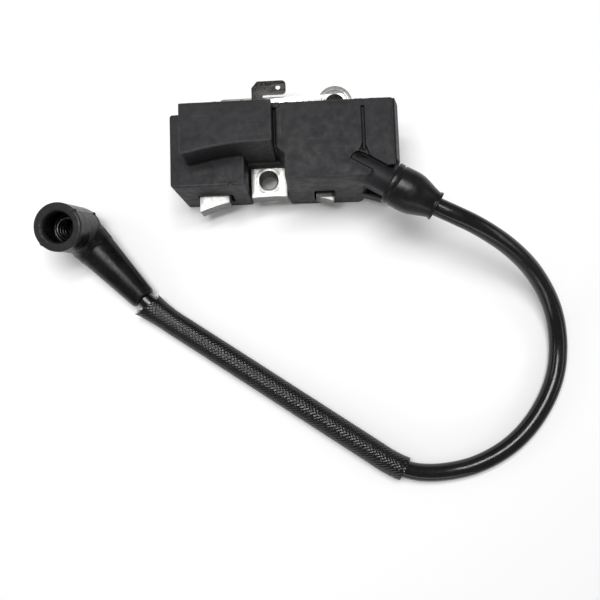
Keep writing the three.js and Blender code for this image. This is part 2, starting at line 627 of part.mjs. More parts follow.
// ---------------------------------------------------------------- spark-plug boot
function along(from, to, length) {
  const start = new THREE.Vector3(...from);
  const step = new THREE.Vector3(...to).sub(start).normalize().multiplyScalar(length);
  return start.add(step).toArray();
}

const headLength = distance(plugElbow, plugMouth);

function plugBoot() {
  const tailLength = distance(plugElbow, plugTailEnd);
  const { radius, bore, boreDepth, chamfer } = plugHead;
  const head = turned([
    [0, 0], [radius, 0], [radius, headLength - chamfer], [radius - chamfer, headLength], [0, headLength],
  ], plugElbow, plugMouth, 28);
  const elbow = new THREE.SphereGeometry(radius, 28, 16);
  elbow.translate(...plugElbow);
  const { rootRadius, rootFlare, rootLength, endRadius } = plugTail;
  const round = plugTailRound.radius;
  const tail = turned([
    [0, 0], [rootRadius + rootFlare, 0], [rootRadius, rootLength],
    [endRadius + round, tailLength - plugTailRound.start], [endRadius, tailLength - round],
    [endRadius - round, tailLength], [0, tailLength],
  ], plugElbow, plugTailEnd, 24);
  const boreEnds = [headLength - boreDepth, headLength + 1].map((at) => along(plugElbow, plugMouth, at));
  const leadEnds = [1, tailLength + 1].map((at) => along(plugElbow, plugTailEnd, at));
  const plugBore = rod(...boreEnds, bore, 24);
  const leadBore = rod(...leadEnds, plugTail.bore, 16);
  return cut(union(head, elbow, tail), plugBore, leadBore);
}
addPiece('plug_boot', plugBoot(), 'rubber');

// Spring that grips the plug's terminal, wound from one wire inside the boot's bore.
function springWire() {
  const { radius, wire, turns, length, start } = plugSpring;
  const stepsPerTurn = 10;
  const count = Math.round(turns * stepsPerTurn);
  const lowEnd = headLength - plugHead.boreDepth + start;
  const points = Array.from({ length: count + 1 }, (_, i) => {
    const angle = (2 * Math.PI * i) / stepsPerTurn;
    return [radius * Math.cos(angle), lowEnd + (length * i) / count, radius * Math.sin(angle)];
  });
  const geometry = swept(points, wire, 6, count);
  const base = new THREE.Vector3(...plugElbow);
  const axis = new THREE.Vector3(...plugMouth).sub(base).normalize();
  geometry.applyQuaternion(new THREE.Quaternion().setFromUnitVectors(new THREE.Vector3(0, 1, 0), axis));
  geometry.translate(base.x, base.y, base.z);
  return geometry;
}
addPiece('plug_terminal_spring', springWire(), 'brass');

export default assembly;
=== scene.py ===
import json
import math
from collections import namedtuple
from functools import reduce

import bmesh
import bpy
import numpy as np
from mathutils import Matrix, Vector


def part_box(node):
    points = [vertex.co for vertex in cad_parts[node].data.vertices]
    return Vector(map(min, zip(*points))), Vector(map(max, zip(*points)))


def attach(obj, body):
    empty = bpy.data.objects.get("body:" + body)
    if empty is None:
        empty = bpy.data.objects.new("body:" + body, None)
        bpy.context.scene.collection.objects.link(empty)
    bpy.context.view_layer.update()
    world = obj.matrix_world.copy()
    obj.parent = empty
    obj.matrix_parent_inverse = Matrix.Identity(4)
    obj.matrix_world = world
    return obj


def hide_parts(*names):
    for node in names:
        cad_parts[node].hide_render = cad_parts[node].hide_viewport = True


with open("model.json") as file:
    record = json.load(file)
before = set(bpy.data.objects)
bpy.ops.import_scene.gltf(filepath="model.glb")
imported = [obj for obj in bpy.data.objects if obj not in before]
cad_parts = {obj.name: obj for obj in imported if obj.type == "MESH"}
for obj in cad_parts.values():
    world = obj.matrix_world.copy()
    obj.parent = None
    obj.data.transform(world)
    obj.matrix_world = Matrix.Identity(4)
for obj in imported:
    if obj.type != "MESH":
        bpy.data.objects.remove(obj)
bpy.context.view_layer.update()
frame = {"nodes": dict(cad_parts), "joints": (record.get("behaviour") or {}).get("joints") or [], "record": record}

import openvdb
from mathutils import Matrix, Vector

rng = np.random.default_rng(7)
MM = 0.001
COIL, BOOT = "coil", "boot"
swivel = frame["joints"][0]
mounts = {mount["name"]: mount for mount in frame["record"]["mounts"]}


def millimetres(metres):
    return np.array(metres, float) / MM


def cad_box(node):
    """The corners of a CAD node's box, in millimetres."""
    return [millimetres(corner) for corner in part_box(node)]


def unit(vector):
    vector = np.array(vector, float)
    return vector / np.linalg.norm(vector)


def turned(angle, across, up):
    """The direction at an angle from across towards up."""
    return math.cos(angle) * across + math.sin(angle) * up


def in_scene(name, data):
    made = bpy.data.objects.new(name, data)
    bpy.context.scene.collection.objects.link(made)
    return made


# ---- camera
def make_camera():
    camera = in_scene("camera", bpy.data.cameras.new("camera"))
    camera.location = (0.0074, -0.06365, 0.200)
    camera.rotation_euler = (math.radians(5.07), math.radians(2.30), math.radians(-1.99))
    camera.data.sensor_width = 36
    camera.data.lens = 37.2
    camera.data.clip_start = 0.01
    bpy.context.scene.camera = camera


make_camera()


# ---- materials
class Look:
    """A material put together from a few kinds of node, its patterns laid out in the frame's millimetres."""

    def __init__(self, color, roughness, metallic=0.0, specular=0.5):
        self.material = bpy.data.materials.new("look")
        self.material.use_nodes = True
        self.tree = self.material.node_tree
        self.shader = self.tree.nodes["Principled BSDF"]
        self.fill(self.shader, {"Base Color": (*color, 1), "Roughness": roughness,
                                "Metallic": metallic, "Specular IOR Level": specular})
        self.place = self.node("TexCoord").outputs["Object"]
        self.normal = None

    def fill(self, node, inputs):
        for name, value in inputs.items():
            if isinstance(value, bpy.types.NodeSocket):
                self.tree.links.new(value, node.inputs[name])
            else:
                node.inputs[name].default_value = value

    def node(self, kind, inputs=None, **settings):
        made = self.tree.nodes.new("ShaderNode" + kind)
        for name, value in settings.items():
            setattr(made, name, value)
        self.fill(made, inputs or {})
        return made

    def scaled(self, size, stretch=(1, 1, 1)):
        scale = [1 / (size * MM * s) for s in stretch]
        return self.node("Mapping", {"Vector": self.place, "Scale": scale}).outputs["Vector"]

    def noise(self, size, detail=4.0, stretch=(1, 1, 1), distortion=0.0):
        """Noise with blobs about size millimetres across, longer along an axis with a stretch above 1."""
        place = self.scaled(size, stretch)
        inputs = {"Vector": place, "Scale": 1.0, "Detail": detail, "Distortion": distortion}
        return self.node("TexNoise", inputs).outputs["Fac"]

    def cells(self, size):
        return self.node("TexVoronoi", {"Vector": self.scaled(size), "Scale": 1.0}).outputs["Distance"]

    def remap(self, value, low, high, to_low=0.0, to_high=1.0):
        inputs = {"Value": value, "From Min": low, "From Max": high, "To Min": to_low, "To Max": to_high}
        return self.node("MapRange", inputs).outputs["Result"]

    def math(self, operation, first, second=0.0):
        return self.node("Math", {0: first, 1: second}, operation=operation).outputs["Value"]

    def distance(self, point):
        """Distance in millimetres from the upright line through a point."""
        flat = self.node("VectorMath", {0: self.place, 1: (1 / MM, 1 / MM, 0)}, operation="MULTIPLY")
        ends = {0: flat.outputs["Vector"], 1: (*point, 0)}
        return self.node("VectorMath", ends, operation="DISTANCE").outputs["Value"]

    def wear(self):
        """How sharply the surface bends, per millimetre: above zero on edges, below zero in corners."""
        return self.node("Attribute", attribute_name="wear").outputs["Fac"]

    def inside(self, low, high, blur=0.15):
        """1 inside an upright box given in millimetres, fading to 0 over the blur."""
        split = self.node("SeparateXYZ", {"Vector": self.place})
        share = 1.0
        for axis, start, end in zip("XYZ", low, high):
            place = split.outputs[axis]
            for near, far in ((start, start - blur), (end, end + blur)):
                share = self.math("MULTIPLY", share, self.remap(place, far * MM, near * MM))
        return share

    def facing_up(self):
        """1 on faces that look up or down, 0 on upright ones."""
        normal = self.node("NewGeometry").outputs["Normal"]
        local = self.node("VectorTransform", {"Vector": normal}, vector_type="NORMAL",
                          convert_from="WORLD", convert_to="OBJECT")
        split = self.node("SeparateXYZ", {"Vector": local.outputs["Vector"]})
        return self.math("ABSOLUTE", split.outputs["Z"])

    def mix(self, share, first, second):
        first, second = ((*color, 1) if isinstance(color, tuple) else color for color in (first, second))
        return self.node("Mix", {0: share, 6: first, 7: second}, data_type="RGBA").outputs[2]

    def over(self, tint, share, strength, color):
        """A tint with a colour laid over it, where the share is above zero."""
        return self.mix(self.math("MULTIPLY", share, strength), tint, color)

    def color(self, value):
        self.fill(self.shader, {"Base Color": value})

    def mottle(self, pattern, low, high, first, second):
        """Colours the surface from the first to the second colour as the pattern goes from low to high."""
        self.color(self.mix(self.remap(pattern, low, high), first, second))

    def gloss(self, pattern, low, high, smoothest, roughest):
        self.fill(self.shader, {"Roughness": self.remap(pattern, low, high, smoothest, roughest)})

    def uneven_gloss(self, size, detail, smoothest, roughest):
        self.gloss(self.noise(size, detail), 0.3, 0.7, smoothest, roughest)

    def grain(self, size, detail, depth):
        self.bump(self.noise(size, detail), depth)

    def bump(self, height, depth):
        """Adds relief that is depth millimetres deep where height is 1."""
        inputs = {"Height": height, "Distance": depth * MM}
        if self.normal is not None:
            inputs["Normal"] = self.normal
        self.normal = self.node("Bump", inputs).outputs["Normal"]
        self.fill(self.shader, {"Normal": self.normal})


def case_plastic():
    look = Look((0.012, 0.012, 0.014), 0.5, specular=0.19)
    clouds = look.noise(9, 5)
    tint = look.mix(look.remap(clouds, 0.35, 0.65), (0.009, 0.009, 0.0112), (0.015, 0.0146, 0.0165))
    scuffs = look.remap(look.noise(0.7, 3, stretch=(14, 1.2, 3), distortion=0.6), 0.66, 0.76)
    tint = look.over(tint, scuffs, 0.3, (0.05, 0.049, 0.048))
    scratch = look.remap(look.noise(1.1, 2, stretch=(1.2, 9, 3), distortion=1.5), 0.70, 0.78)
    tint = look.over(tint, scratch, 0.3, (0.07, 0.068, 0.066))
    dust = look.remap(look.cells(2.3), 0.06, 0.035)
    tint = look.over(tint, dust, 0.35, (0.14, 0.135, 0.13))
    # Lighter on the sharp edges: partly rubbed wear, partly painted highlight where the rounded edges catch the
    # light; kept faint along the groove and fan.
    edge_wear_and_highlight = look.remap(look.wear(), 0.5, 2.2)
    edge_wear_and_highlight = look.math("MULTIPLY", edge_wear_and_highlight, look.remap(look.noise(1.5, 4), 0.3, 0.65, 0.35, 1.0))
    by_groove = look.inside((18.0, -9.5, 28.5), (23.0, 6.7, 31), 0.3)
    edge_wear_and_highlight = look.math("MULTIPLY", edge_wear_and_highlight, look.remap(by_groove, 0, 1, 0.8, 0.1))
    tint = look.mix(edge_wear_and_highlight, tint, (0.055, 0.054, 0.055))
    # Painted shade in the inside corners, deeper the sharper the corner.
    corner_shade = look.remap(look.wear(), -0.4, -2.0)
    tint = look.over(tint, corner_shade, 0.7, (0.004, 0.004, 0.0045))
    scribed = look.inside((16.58, -0.9, 29.7), (16.66, 6.4, 31), 0.08)
    tint = look.over(tint, scribed, 0.6, (0.004, 0.004, 0.004))
    # Painted shade in the bottom of the groove and in the fan where it opens towards the tower.
    for low, high in (((20.2, -6.4, 28), (21.0, 6.1, 29.5)), ((18.3, -8.7, 28), (22.5, -4.5, 29.6))):
        tint = look.over(tint, look.inside(low, high, 0.12), 0.85, (0.002, 0.002, 0.0025))
    look.color(tint)
    look.uneven_gloss(2.2, 4, 0.44, 0.62)
    look.grain(6.0, 2, 0.06)
    look.grain(0.22, 3, 0.012)
    return look


POLE_HOLE, POLE_BORE, POLE_STRETCH = (-8.0, -9.05), 2.65, 0.6
EAR_HOLE, EAR_BORE = (13.45, 14.85), 2.7


def core_steel():
    """Bright cut steel, with painted shade in its holes, where a washer has pressed a ring round each."""
    look = Look((0.6, 0.6, 0.59), 0.34, metallic=0.75)
    stains = look.noise(2.6, 5, distortion=0.8)
    tint = look.mix(look.remap(stains, 0.38, 0.68), (0.48, 0.475, 0.465), (0.35, 0.342, 0.33))
    pits = look.remap(look.noise(0.4, 5), 0.64, 0.72)
    tint = look.over(tint, pits, 0.6, (0.22, 0.21, 0.20))
    # Upright faces darker: partly the layered cut edges of the sheets, partly painted shade where the legs' sides
    # and hole walls stand in shadow.
    sides = look.remap(look.facing_up(), 0.6, 0.95)
    layers = look.remap(look.noise(0.5, 3, stretch=(8, 8, 1)), 0.35, 0.65)
    edge = look.mix(layers, (0.09, 0.088, 0.086), (0.21, 0.206, 0.20))
    tint = look.mix(sides, edge, tint)
    for place, radius, mark in ((POLE_HOLE, POLE_BORE + POLE_STRETCH / 2, 3.95), (EAR_HOLE, EAR_BORE, 4.1)):
        away = look.distance(place)
        band = look.remap(look.math("ABSOLUTE", look.math("SUBTRACT", away, mark)), 0.30, 0.06)
        band = look.math("MULTIPLY", band, look.remap(look.noise(1.6, 3), 0.30, 0.55))
        tint = look.over(tint, band, 0.55, (0.20, 0.19, 0.18))
        look.bump(band, -0.03)
        # Painted shade inside each hole.
        tint = look.mix(look.remap(away, radius + 0.25, radius + 0.1), tint, (0.03, 0.027, 0.024))
    # Painted shade, not moulding flash: near black on the right pole where it runs under the case into its window.
    flash = look.inside((6, -15.0, 5), (12.6, -5, 13), 0.25)
    tint = look.over(tint, flash, 0.92, (0.02, 0.02, 0.02))
    look.color(tint)
    look.uneven_gloss(1.2, 4, 0.30, 0.44)
    look.bump(look.noise(0.5, 4, stretch=(6, 1, 1)), 0.006)
    return look


def rivet_steel():
    look = Look((0.62, 0.62, 0.61), 0.35, metallic=0.9)
    look.mottle(look.noise(0.8, 4), 0.4, 0.65, (0.66, 0.66, 0.65), (0.40, 0.39, 0.38))
    look.uneven_gloss(0.5, 3, 0.28, 0.45)
    look.grain(0.4, 3, 0.015)
    return look


def terminal_steel():
    """Tin plate gone dark and mottled on its flat faces, with bright cut edges."""
    look = Look((0.12, 0.115, 0.11), 0.5, metallic=0.55)
    mottle = look.noise(0.55, 6, distortion=0.5)
    face = look.mix(look.remap(mottle, 0.44, 0.66), (0.010, 0.0095, 0.0095), (0.075, 0.071, 0.067))
    flat = look.remap(look.facing_up(), 0.5, 0.9)
    look.color(look.mix(flat, (0.68, 0.68, 0.67), face))
    look.gloss(mottle, 0.35, 0.65, 0.36, 0.62)
    look.bump(mottle, 0.02)
    return look


def boot_rubber():
    look = Look((0.01, 0.01, 0.011), 0.3, specular=0.17)
    clouds = look.noise(5, 5)
    tint = look.mix(look.remap(clouds, 0.35, 0.68), (0.003, 0.003, 0.004), (0.008, 0.0078, 0.0078))
    chalk = look.remap(look.noise(1.1, 6, distortion=0.4), 0.60, 0.74)
    tint = look.over(tint, chalk, 0.25, (0.035, 0.034, 0.033))
    rim = look.inside((-90, -45, 19.5), (-55, -5, 30), 0.4)
    look.color(look.over(tint, rim, 0.8, (0.026, 0.0255, 0.026)))
    look.uneven_gloss(1.8, 4, 0.20, 0.36)
    look.grain(3.0, 3, 0.05)
    look.grain(0.3, 3, 0.012)
    return look


def relief_rubber():
    look = Look((0.007, 0.007, 0.008), 0.32, specular=0.25)
    look.mottle(look.noise(4, 5), 0.35, 0.68, (0.004, 0.004, 0.005), (0.010, 0.0095, 0.0095))
    look.uneven_gloss(1.5, 4, 0.24, 0.38)
    look.grain(2.6, 3, 0.05)
    look.grain(0.3, 3, 0.008)
    return look


def lead_insulation():
    look = Look((0.005, 0.005, 0.006), 0.2, specular=0.4)
    look.mottle(look.noise(6, 4), 0.35, 0.7, (0.003, 0.003, 0.0035), (0.007, 0.007, 0.008))
    look.uneven_gloss(1.4, 4, 0.14, 0.28)
    look.grain(5.0, 2, 0.05)
    look.grain(0.5, 3, 0.004)
    return look


def sleeve_braid():
    """Varnished black yarn, glossy enough to sparkle."""
    look = Look((0.006, 0.006, 0.007), 0.16, specular=0.45)
    fibres = look.noise(0.16, 4)
    look.mottle(fibres, 0.4, 0.65, (0.0015, 0.0015, 0.002), (0.006, 0.006, 0.0068))
    look.uneven_gloss(0.9, 3, 0.10, 0.22)
    look.bump(fibres, 0.02)
    return look


def potting_epoxy():
    look = Look((0.012, 0.011, 0.010), 0.22, specular=0.55)
    look.mottle(look.noise(7, 5), 0.35, 0.7, (0.010, 0.009, 0.008), (0.028, 0.025, 0.022))
    look.uneven_gloss(3, 4, 0.14, 0.42)
    look.grain(4, 3, 0.12)
    return look


def bobbin_nylon():
    look = Look((0.033, 0.028, 0.02), 0.55)
    look.mottle(look.noise(2, 5), 0.35, 0.7, (0.028, 0.024, 0.018), (0.05, 0.043, 0.032))
    look.uneven_gloss(0.8, 3, 0.45, 0.65)
    look.grain(0.3, 3, 0.02)
    return look


def winding_copper():
    """Layers of enamelled wire, seen as fine turns."""
    look = Look((0.34, 0.10, 0.035), 0.32, metallic=0.85)
    turns = look.noise(0.16, 2, stretch=(40, 1, 40))
    look.mottle(turns, 0.35, 0.65, (0.16, 0.045, 0.015), (0.46, 0.16, 0.055))
    look.uneven_gloss(1.0, 3, 0.24, 0.42)
    look.bump(turns, 0.06)
    return look


def board_laminate():
    look = Look((0.02, 0.10, 0.03), 0.4)
    weave = look.noise(0.5, 3, stretch=(4, 1, 1))
    look.mottle(weave, 0.35, 0.7, (0.012, 0.075, 0.022), (0.03, 0.13, 0.04))
    look.uneven_gloss(1.2, 3, 0.3, 0.5)
    look.bump(weave, 0.02)
    return look


def capacitor_film():
    look = Look((0.02, 0.065, 0.24), 0.3, specular=0.6)
    look.mottle(look.noise(2.5, 4), 0.35, 0.7, (0.014, 0.05, 0.19), (0.03, 0.09, 0.30))
    look.uneven_gloss(1.0, 3, 0.2, 0.4)
    look.grain(2.0, 3, 0.08)
    return look


def moulded_epoxy():
    look = Look((0.012, 0.012, 0.013), 0.5)
    look.mottle(look.noise(0.8, 4), 0.4, 0.7, (0.010, 0.010, 0.011), (0.026, 0.025, 0.025))
    look.uneven_gloss(0.6, 3, 0.4, 0.6)
    look.grain(0.2, 3, 0.015)
    return look


def resistor_body():
    look = Look((0.45, 0.32, 0.16), 0.45)
    look.mottle(look.noise(0.6, 4), 0.4, 0.7, (0.50, 0.36, 0.18), (0.34, 0.22, 0.10))
    look.uneven_gloss(0.5, 3, 0.35, 0.55)
    look.grain(0.5, 3, 0.03)
    return look


def ferrite():
    look = Look((0.03, 0.028, 0.028), 0.6)
    look.mottle(look.noise(0.3, 5), 0.4, 0.65, (0.022, 0.02, 0.02), (0.06, 0.055, 0.055))
    look.uneven_gloss(0.4, 3, 0.5, 0.7)
    look.grain(0.15, 3, 0.02)
    return look


def contact_brass():
    look = Look((0.55, 0.38, 0.12), 0.3, metallic=0.95)
    look.mottle(look.noise(0.7, 4), 0.4, 0.7, (0.60, 0.42, 0.14), (0.36, 0.22, 0.07))
    look.uneven_gloss(0.4, 3, 0.22, 0.4)
    look.bump(look.noise(0.2, 2, stretch=(1, 8, 1)), 0.01)
    return look


def spring_steel():
    look = Look((0.1, 0.1, 0.095), 0.25, metallic=0.9)
    look.mottle(look.noise(0.6, 4), 0.4, 0.7, (0.05, 0.048, 0.046), (0.015, 0.014, 0.013))
    look.uneven_gloss(0.3, 3, 0.18, 0.34)
    look.grain(0.2, 3, 0.008)
    return look


looks = {}
for make_look in (case_plastic, potting_epoxy, core_steel, rivet_steel, terminal_steel, bobbin_nylon,
                  winding_copper, board_laminate, capacitor_film, moulded_epoxy, resistor_body, ferrite,
                  contact_brass, boot_rubber, relief_rubber, lead_insulation, sleeve_braid, spring_steel):
    name = make_look.__name__
    looks[name] = make_look().material
    looks[name].name = name


# ---- shapes from distances
class Space:
    """A block of points in millimetres, and their distances from simple shapes, below zero inside."""

    def __init__(self, low, high, step):
        self.low, self.step = np.array(low, float), step
        counts = [int(math.ceil((h - l) / step)) + 1 for l, h in zip(low, high)]
        lines = [(l + step * np.arange(n)).astype(np.float32) for l, n in zip(low, counts)]
        self.axes = self.x, self.y, self.z = np.ix_(*lines)

    def box(self, low, high, edge=0.0):
        away = [abs(p - (a + b) / 2) - ((b - a) / 2 - edge)
                for p, a, b in zip(self.axes, low, high)]
        return crossing(edge, *away)

    def prism(self, corners, low, high, edge=0.0):
        """An upright prism over an outline, with rounded upper and lower edges."""
        flat = outline_distance(self.x[:, :, 0], self.y[:, :, 0], corners)[:, :, None] + edge
        upright = abs(self.z - (low + high) / 2) - ((high - low) / 2 - edge)
        return crossing(edge, flat, upright)

    def beside(self, start, axis):
        """Distance along an axis from its start, and square of the distance from it."""
        axis = unit(axis)
        dx, dy, dz = (p - a for p, a in zip(self.axes, start))
        along = dx * axis[0] + dy * axis[1] + dz * axis[2]
        return along, np.maximum(dx * dx + dy * dy + dz * dz - along * along, 0)

    def rod(self, start, axis, low, high, radius, end_radius=None, edge=0.0):
        """A round rod along an axis, a cone if end_radius differs, with rounded ends."""
        along, square = self.beside(start, axis)
        away = np.sqrt(square)
        share = np.clip((along - low) / (high - low), 0, 1)
        size = radius if end_radius is None else radius + (end_radius - radius) * share
        across = away - size + edge
        length = abs(along - (low + high) / 2) - ((high - low) / 2 - edge)
        return crossing(edge, across, length)

    def ball(self, centre, radius, squash=(1, 1, 1)):
        dx, dy, dz = ((p - c) / s for p, c, s in zip(self.axes, centre, squash))
        return np.sqrt(dx * dx + dy * dy + dz * dz) - radius

    def mesh(self, name, distance, adaptivity):
        """The surface where the distance is zero, as a mesh in metres."""
        reach = 3 * self.step
        grid = openvdb.FloatGrid(background=reach)
        grid.copyFromArray(np.clip(distance, -reach, reach).astype(np.float32))
        points, triangles, quads = grid.convertToPolygons(isovalue=0.0, adaptivity=adaptivity)
        points = (self.low + points * self.step) * MM
        mesh = bpy.data.meshes.new(name)
        faces = [tuple(face[::-1]) for face in (*triangles, *quads)]
        mesh.from_pydata(points.tolist(), [], faces)
        mesh.validate()
        facing_out(mesh)
        mesh.attributes.new("wear", "FLOAT", "POINT").data.foreach_set("value", self.bend_at(mesh, distance))
        return mesh

    def bend_at(self, mesh, distance):
        """Bend of the surface at a mesh's points, from how the distance changes around them."""
        places = np.empty(len(mesh.vertices) * 3, np.float32)
        mesh.vertices.foreach_get("co", places)
        cells = np.rint((places.reshape(-1, 3) / MM - self.low) / self.step).astype(int)
        x, y, z = (np.clip(cells[:, k], 1, distance.shape[k] - 2) for k in range(3))
        around = (distance[x - 1, y, z] + distance[x + 1, y, z] + distance[x, y - 1, z]
                  + distance[x, y + 1, z] + distance[x, y, z - 1] + distance[x, y, z + 1])
        return (around - 6 * distance[x, y, z]) / self.step ** 2


def outline_distance(x, y, corners):
    """Distance from points of the ground plan to a closed outline, below zero inside."""
    nearest = np.full(np.broadcast(x, y).shape, 1e9, np.float32)
    inside = np.zeros(nearest.shape, bool)
    for (ax, ay), (bx, by) in zip(corners, corners[1:] + corners[:1]):
        ex, ey = bx - ax, by - ay
        wx, wy = x - ax, y - ay
        share = np.clip((wx * ex + wy * ey) / (ex * ex + ey * ey), 0, 1)
        nearest = np.minimum(nearest, (wx - ex * share) ** 2 + (wy - ey * share) ** 2)
        if ey:
            inside ^= ((ay <= y) != (by <= y)) & (wx < wy * ex / ey)
    return np.where(inside, -1, 1) * np.sqrt(nearest)


def crossing(edge, *distances):
    """What lies inside all of the distances, grown by a rounded edge."""
    outside = np.sqrt(sum(np.maximum(d, 0) ** 2 for d in distances))
    return outside + np.minimum(reduce(np.maximum, distances), 0) - edge


def joined(first, second, fillet=0.001):
    """Union of two distances, with a soft fillet where they meet."""
    close = np.maximum(fillet - abs(first - second), 0)
    return np.minimum(first, second) - close * close / (4 * fillet)


def without(body, *tools):
    for tool in tools:
        body = np.maximum(body, -tool)
    return body


def facing_out(mesh):
    sheet = bmesh.new()
    sheet.from_mesh(mesh)
    bmesh.ops.remove_doubles(sheet, verts=sheet.verts, dist=1e-7)
    bmesh.ops.recalc_face_normals(sheet, faces=sheet.faces)
    if sheet.calc_volume(signed=True) < 0:
        bmesh.ops.reverse_faces(sheet, faces=sheet.faces)
    sheet.to_mesh(mesh)
    sheet.free()
    return mesh


def outline(*corners):
    """A closed outline from corners (x, y, radius), with an arc at each corner that has a radius."""
    points = []
    for i, (x, y, radius) in enumerate(corners):
        here = np.array((x, y), float)
        if not radius:
            points.append((x, y))
            continue
        before = unit(np.array(corners[i - 1][:2]) - here)
        after = unit(np.array(corners[(i + 1) % len(corners)][:2]) - here)
        half = math.acos(np.clip(before @ after, -1, 1)) / 2
        centre = here + unit(before + after) * radius / math.sin(half)
        start = here + before * radius / math.tan(half) - centre
        end = here + after * radius / math.tan(half) - centre
        sweep = math.pi - 2 * half
        steps = max(2, int(math.degrees(sweep) / 8))
        for k in range(steps + 1):
            share = k / steps
            arm = start * math.sin((1 - share) * sweep) + end * math.sin(share * sweep)
            points.append(tuple(centre + arm / math.sin(sweep)))
    return points


# ---- pieces
def piece(name, data, body, look, *nodes, slot=None, angle=None):
    """Makes a piece that rides on a body and stands for CAD nodes, smooth up to the angle between faces."""
    made = in_scene(name, data)
    data.materials.clear()
    data.materials.append(looks[look])
    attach(made, body)
    if nodes:
        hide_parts(*nodes)
    if angle:
        data.shade_smooth()
        data.set_sharp_from_angle(angle=math.radians(angle))
    return made


def curve_through(name, dimensions, bevel, steps, *lines):
    """A curve through lines of points in metres, with a round edge of radius bevel."""
    curve = bpy.data.curves.new(name, "CURVE")
    curve.dimensions = dimensions
    curve.bevel_depth = bevel
    curve.bevel_resolution = steps
    for points in lines:
        spline = curve.splines.new("POLY")
        spline.points.add(len(points) - 1)
        for point, place in zip(spline.points, points):
            point.co = (*place, 1)
    return curve


def round_curve(name, points, radius, steps):
    curve = curve_through(name, "3D", radius, steps, points)
    curve.use_fill_caps = True
    curve.splines[0].use_smooth = True
    return curve


def as_mesh(curve):
    holder = bpy.data.objects.new(curve.name, curve)
    mesh = bpy.data.meshes.new_from_object(holder)
    bpy.data.objects.remove(holder)
    return mesh


def flat_plate(name, node, edge, *outlines):
    """A plate as thick as a CAD node, over an outline with holes, its edges rounded."""
    low, high = (corner[2] * MM for corner in cad_box(node))
    lines = [[(x * MM, y * MM, 0) for x, y in points] for points in outlines]
    curve = curve_through(name, "2D", edge * MM, 1, *lines)
    curve.fill_mode = "BOTH"
    curve.extrude = (high - low) / 2 - edge * MM
    curve.offset = -edge * MM
    for spline in curve.splines:
        spline.use_cyclic_u = True
    mesh = as_mesh(curve)
    mesh.transform(Matrix.Translation((0, 0, (low + high) / 2)))
    return facing_out(mesh)


def ring(centre, radius, stretch=0.0, count=40):
    """Points of a circle, pulled apart along Y by stretch."""
    points = []
    for k in range(count):
        angle = 2 * math.pi * (k + 0.5) / count
        lift = math.copysign(stretch / 2, math.sin(angle))
        points.append((centre[0] + radius * math.cos(angle), centre[1] + radius * math.sin(angle) + lift))
    return points


# ---- high-tension lead
LEAD_DIAMETER = 5.4
# The CAD's route of the lead, from inside the tower to inside the plug boot, in metres.
LEAD_ROUTE = [
    (0.0253, -0.01345, 0.0255), (0.033, -0.01815, 0.0255), (0.0407, -0.02275, 0.0255),
    (0.0459, -0.02545, 0.0254), (0.0511, -0.02795, 0.0244), (0.0562, -0.03065, 0.0225),
    (0.0609, -0.03335, 0.02005), (0.0653, -0.03635, 0.0172), (0.0693, -0.03955, 0.0141),
    (0.0729, -0.04335, 0.011), (0.076, -0.04765, 0.0081), (0.0784, -0.05255, 0.0057),
    (0.0798, -0.05805, 0.0039), (0.0801, -0.06395, 0.00295), (0.0793, -0.06995, 0.00275),
    (0.0774, -0.07575, 0.00275), (0.0746, -0.08115, 0.00275), (0.0711, -0.08615, 0.00275),
    (0.067, -0.09055, 0.00275), (0.0623, -0.09425, 0.00275), (0.0571, -0.09715, 0.00275),
    (0.0514, -0.09935, 0.00275), (0.0453, -0.1006, 0.00275), (0.039, -0.10095, 0.0031),
    (0.034, -0.1004, 0.0036), (0.0296, -0.099, 0.00395), (0.0255, -0.0968, 0.0039),
    (0.02, -0.09305, 0.0039), (-0.001, -0.0787, 0.0039), (-0.022, -0.06435, 0.0039),
    (-0.036, -0.0548, 0.0039), (-0.042, -0.05065, 0.0039), (-0.0485, -0.0449, 0.00425),
    (-0.0519, -0.04115, 0.00475), (-0.0579, -0.0345, 0.00565), (-0.0656, -0.02595, 0.00685),
]
SLEEVE_SPAN = (25, 31.82)  # places on the route, counted in its points
TOWER = np.array((17.55, -8.85, 25.5))
TOWER_AXIS = np.array((math.cos(math.radians(-31)), math.sin(math.radians(-31)), 0))
TOWER_LENGTH = 18.95
RELIEF_START, RELIEF_LENGTH = 12.2, 14.8


def route_point(place):
    """A point of the lead's smooth centre line, at a place counted in points of the route."""
    route = np.array(LEAD_ROUTE)
    i = min(int(place), len(route) - 2)
    first, last = 2 * route[0] - route[1], 2 * route[-1] - route[-2]
    before = route[i - 1] if i else first
    after = route[i + 2] if i + 2 < len(route) else last
    p1, p2 = route[i], route[i + 1]
    d0, d1, d2 = (math.sqrt(np.linalg.norm(b - a)) for a, b in ((before, p1), (p1, p2), (p2, after)))
    t1 = ((p1 - before) / d0 - (p2 - before) / (d0 + d1) + (p2 - p1) / d1) * d1
    t2 = ((p2 - p1) / d1 - (after - p1) / (d1 + d2) + (after - p2) / d2) * d1
    s = place - i
    return p1 + t1 * s + (-3 * p1 + 3 * p2 - 2 * t1 - t2) * s**2 + (2 * p1 - 2 * p2 + t1 + t2) * s**3


def route_between(start, end, count):
    return np.array([route_point(start + (end - start) * k / (count - 1)) for k in range(count)])


def make_lead():
    centres = route_between(0, len(LEAD_ROUTE) - 1, 420)
    lead = round_curve("high_tension_lead", centres, LEAD_DIAMETER / 2 * MM, 10)
    return piece("high_tension_lead", lead, COIL, "lead_insulation", "ht_lead_insulation")


# ---- braided sleeve
SLEEVE_RADIUS, SLEEVE_BORE = 3.85, 3.25
STRANDS = 20  # strands that wind one way round
PICK = 1.2  # length of one crossing along the sleeve
WEAVE_DEPTH = 0.32
LOW_SIDE = np.array((-0.56, -0.83, 0.0))  # the near side of the sleeve
END_SAG = 1.2  # how far the sleeve's left end stands off the lead on that side


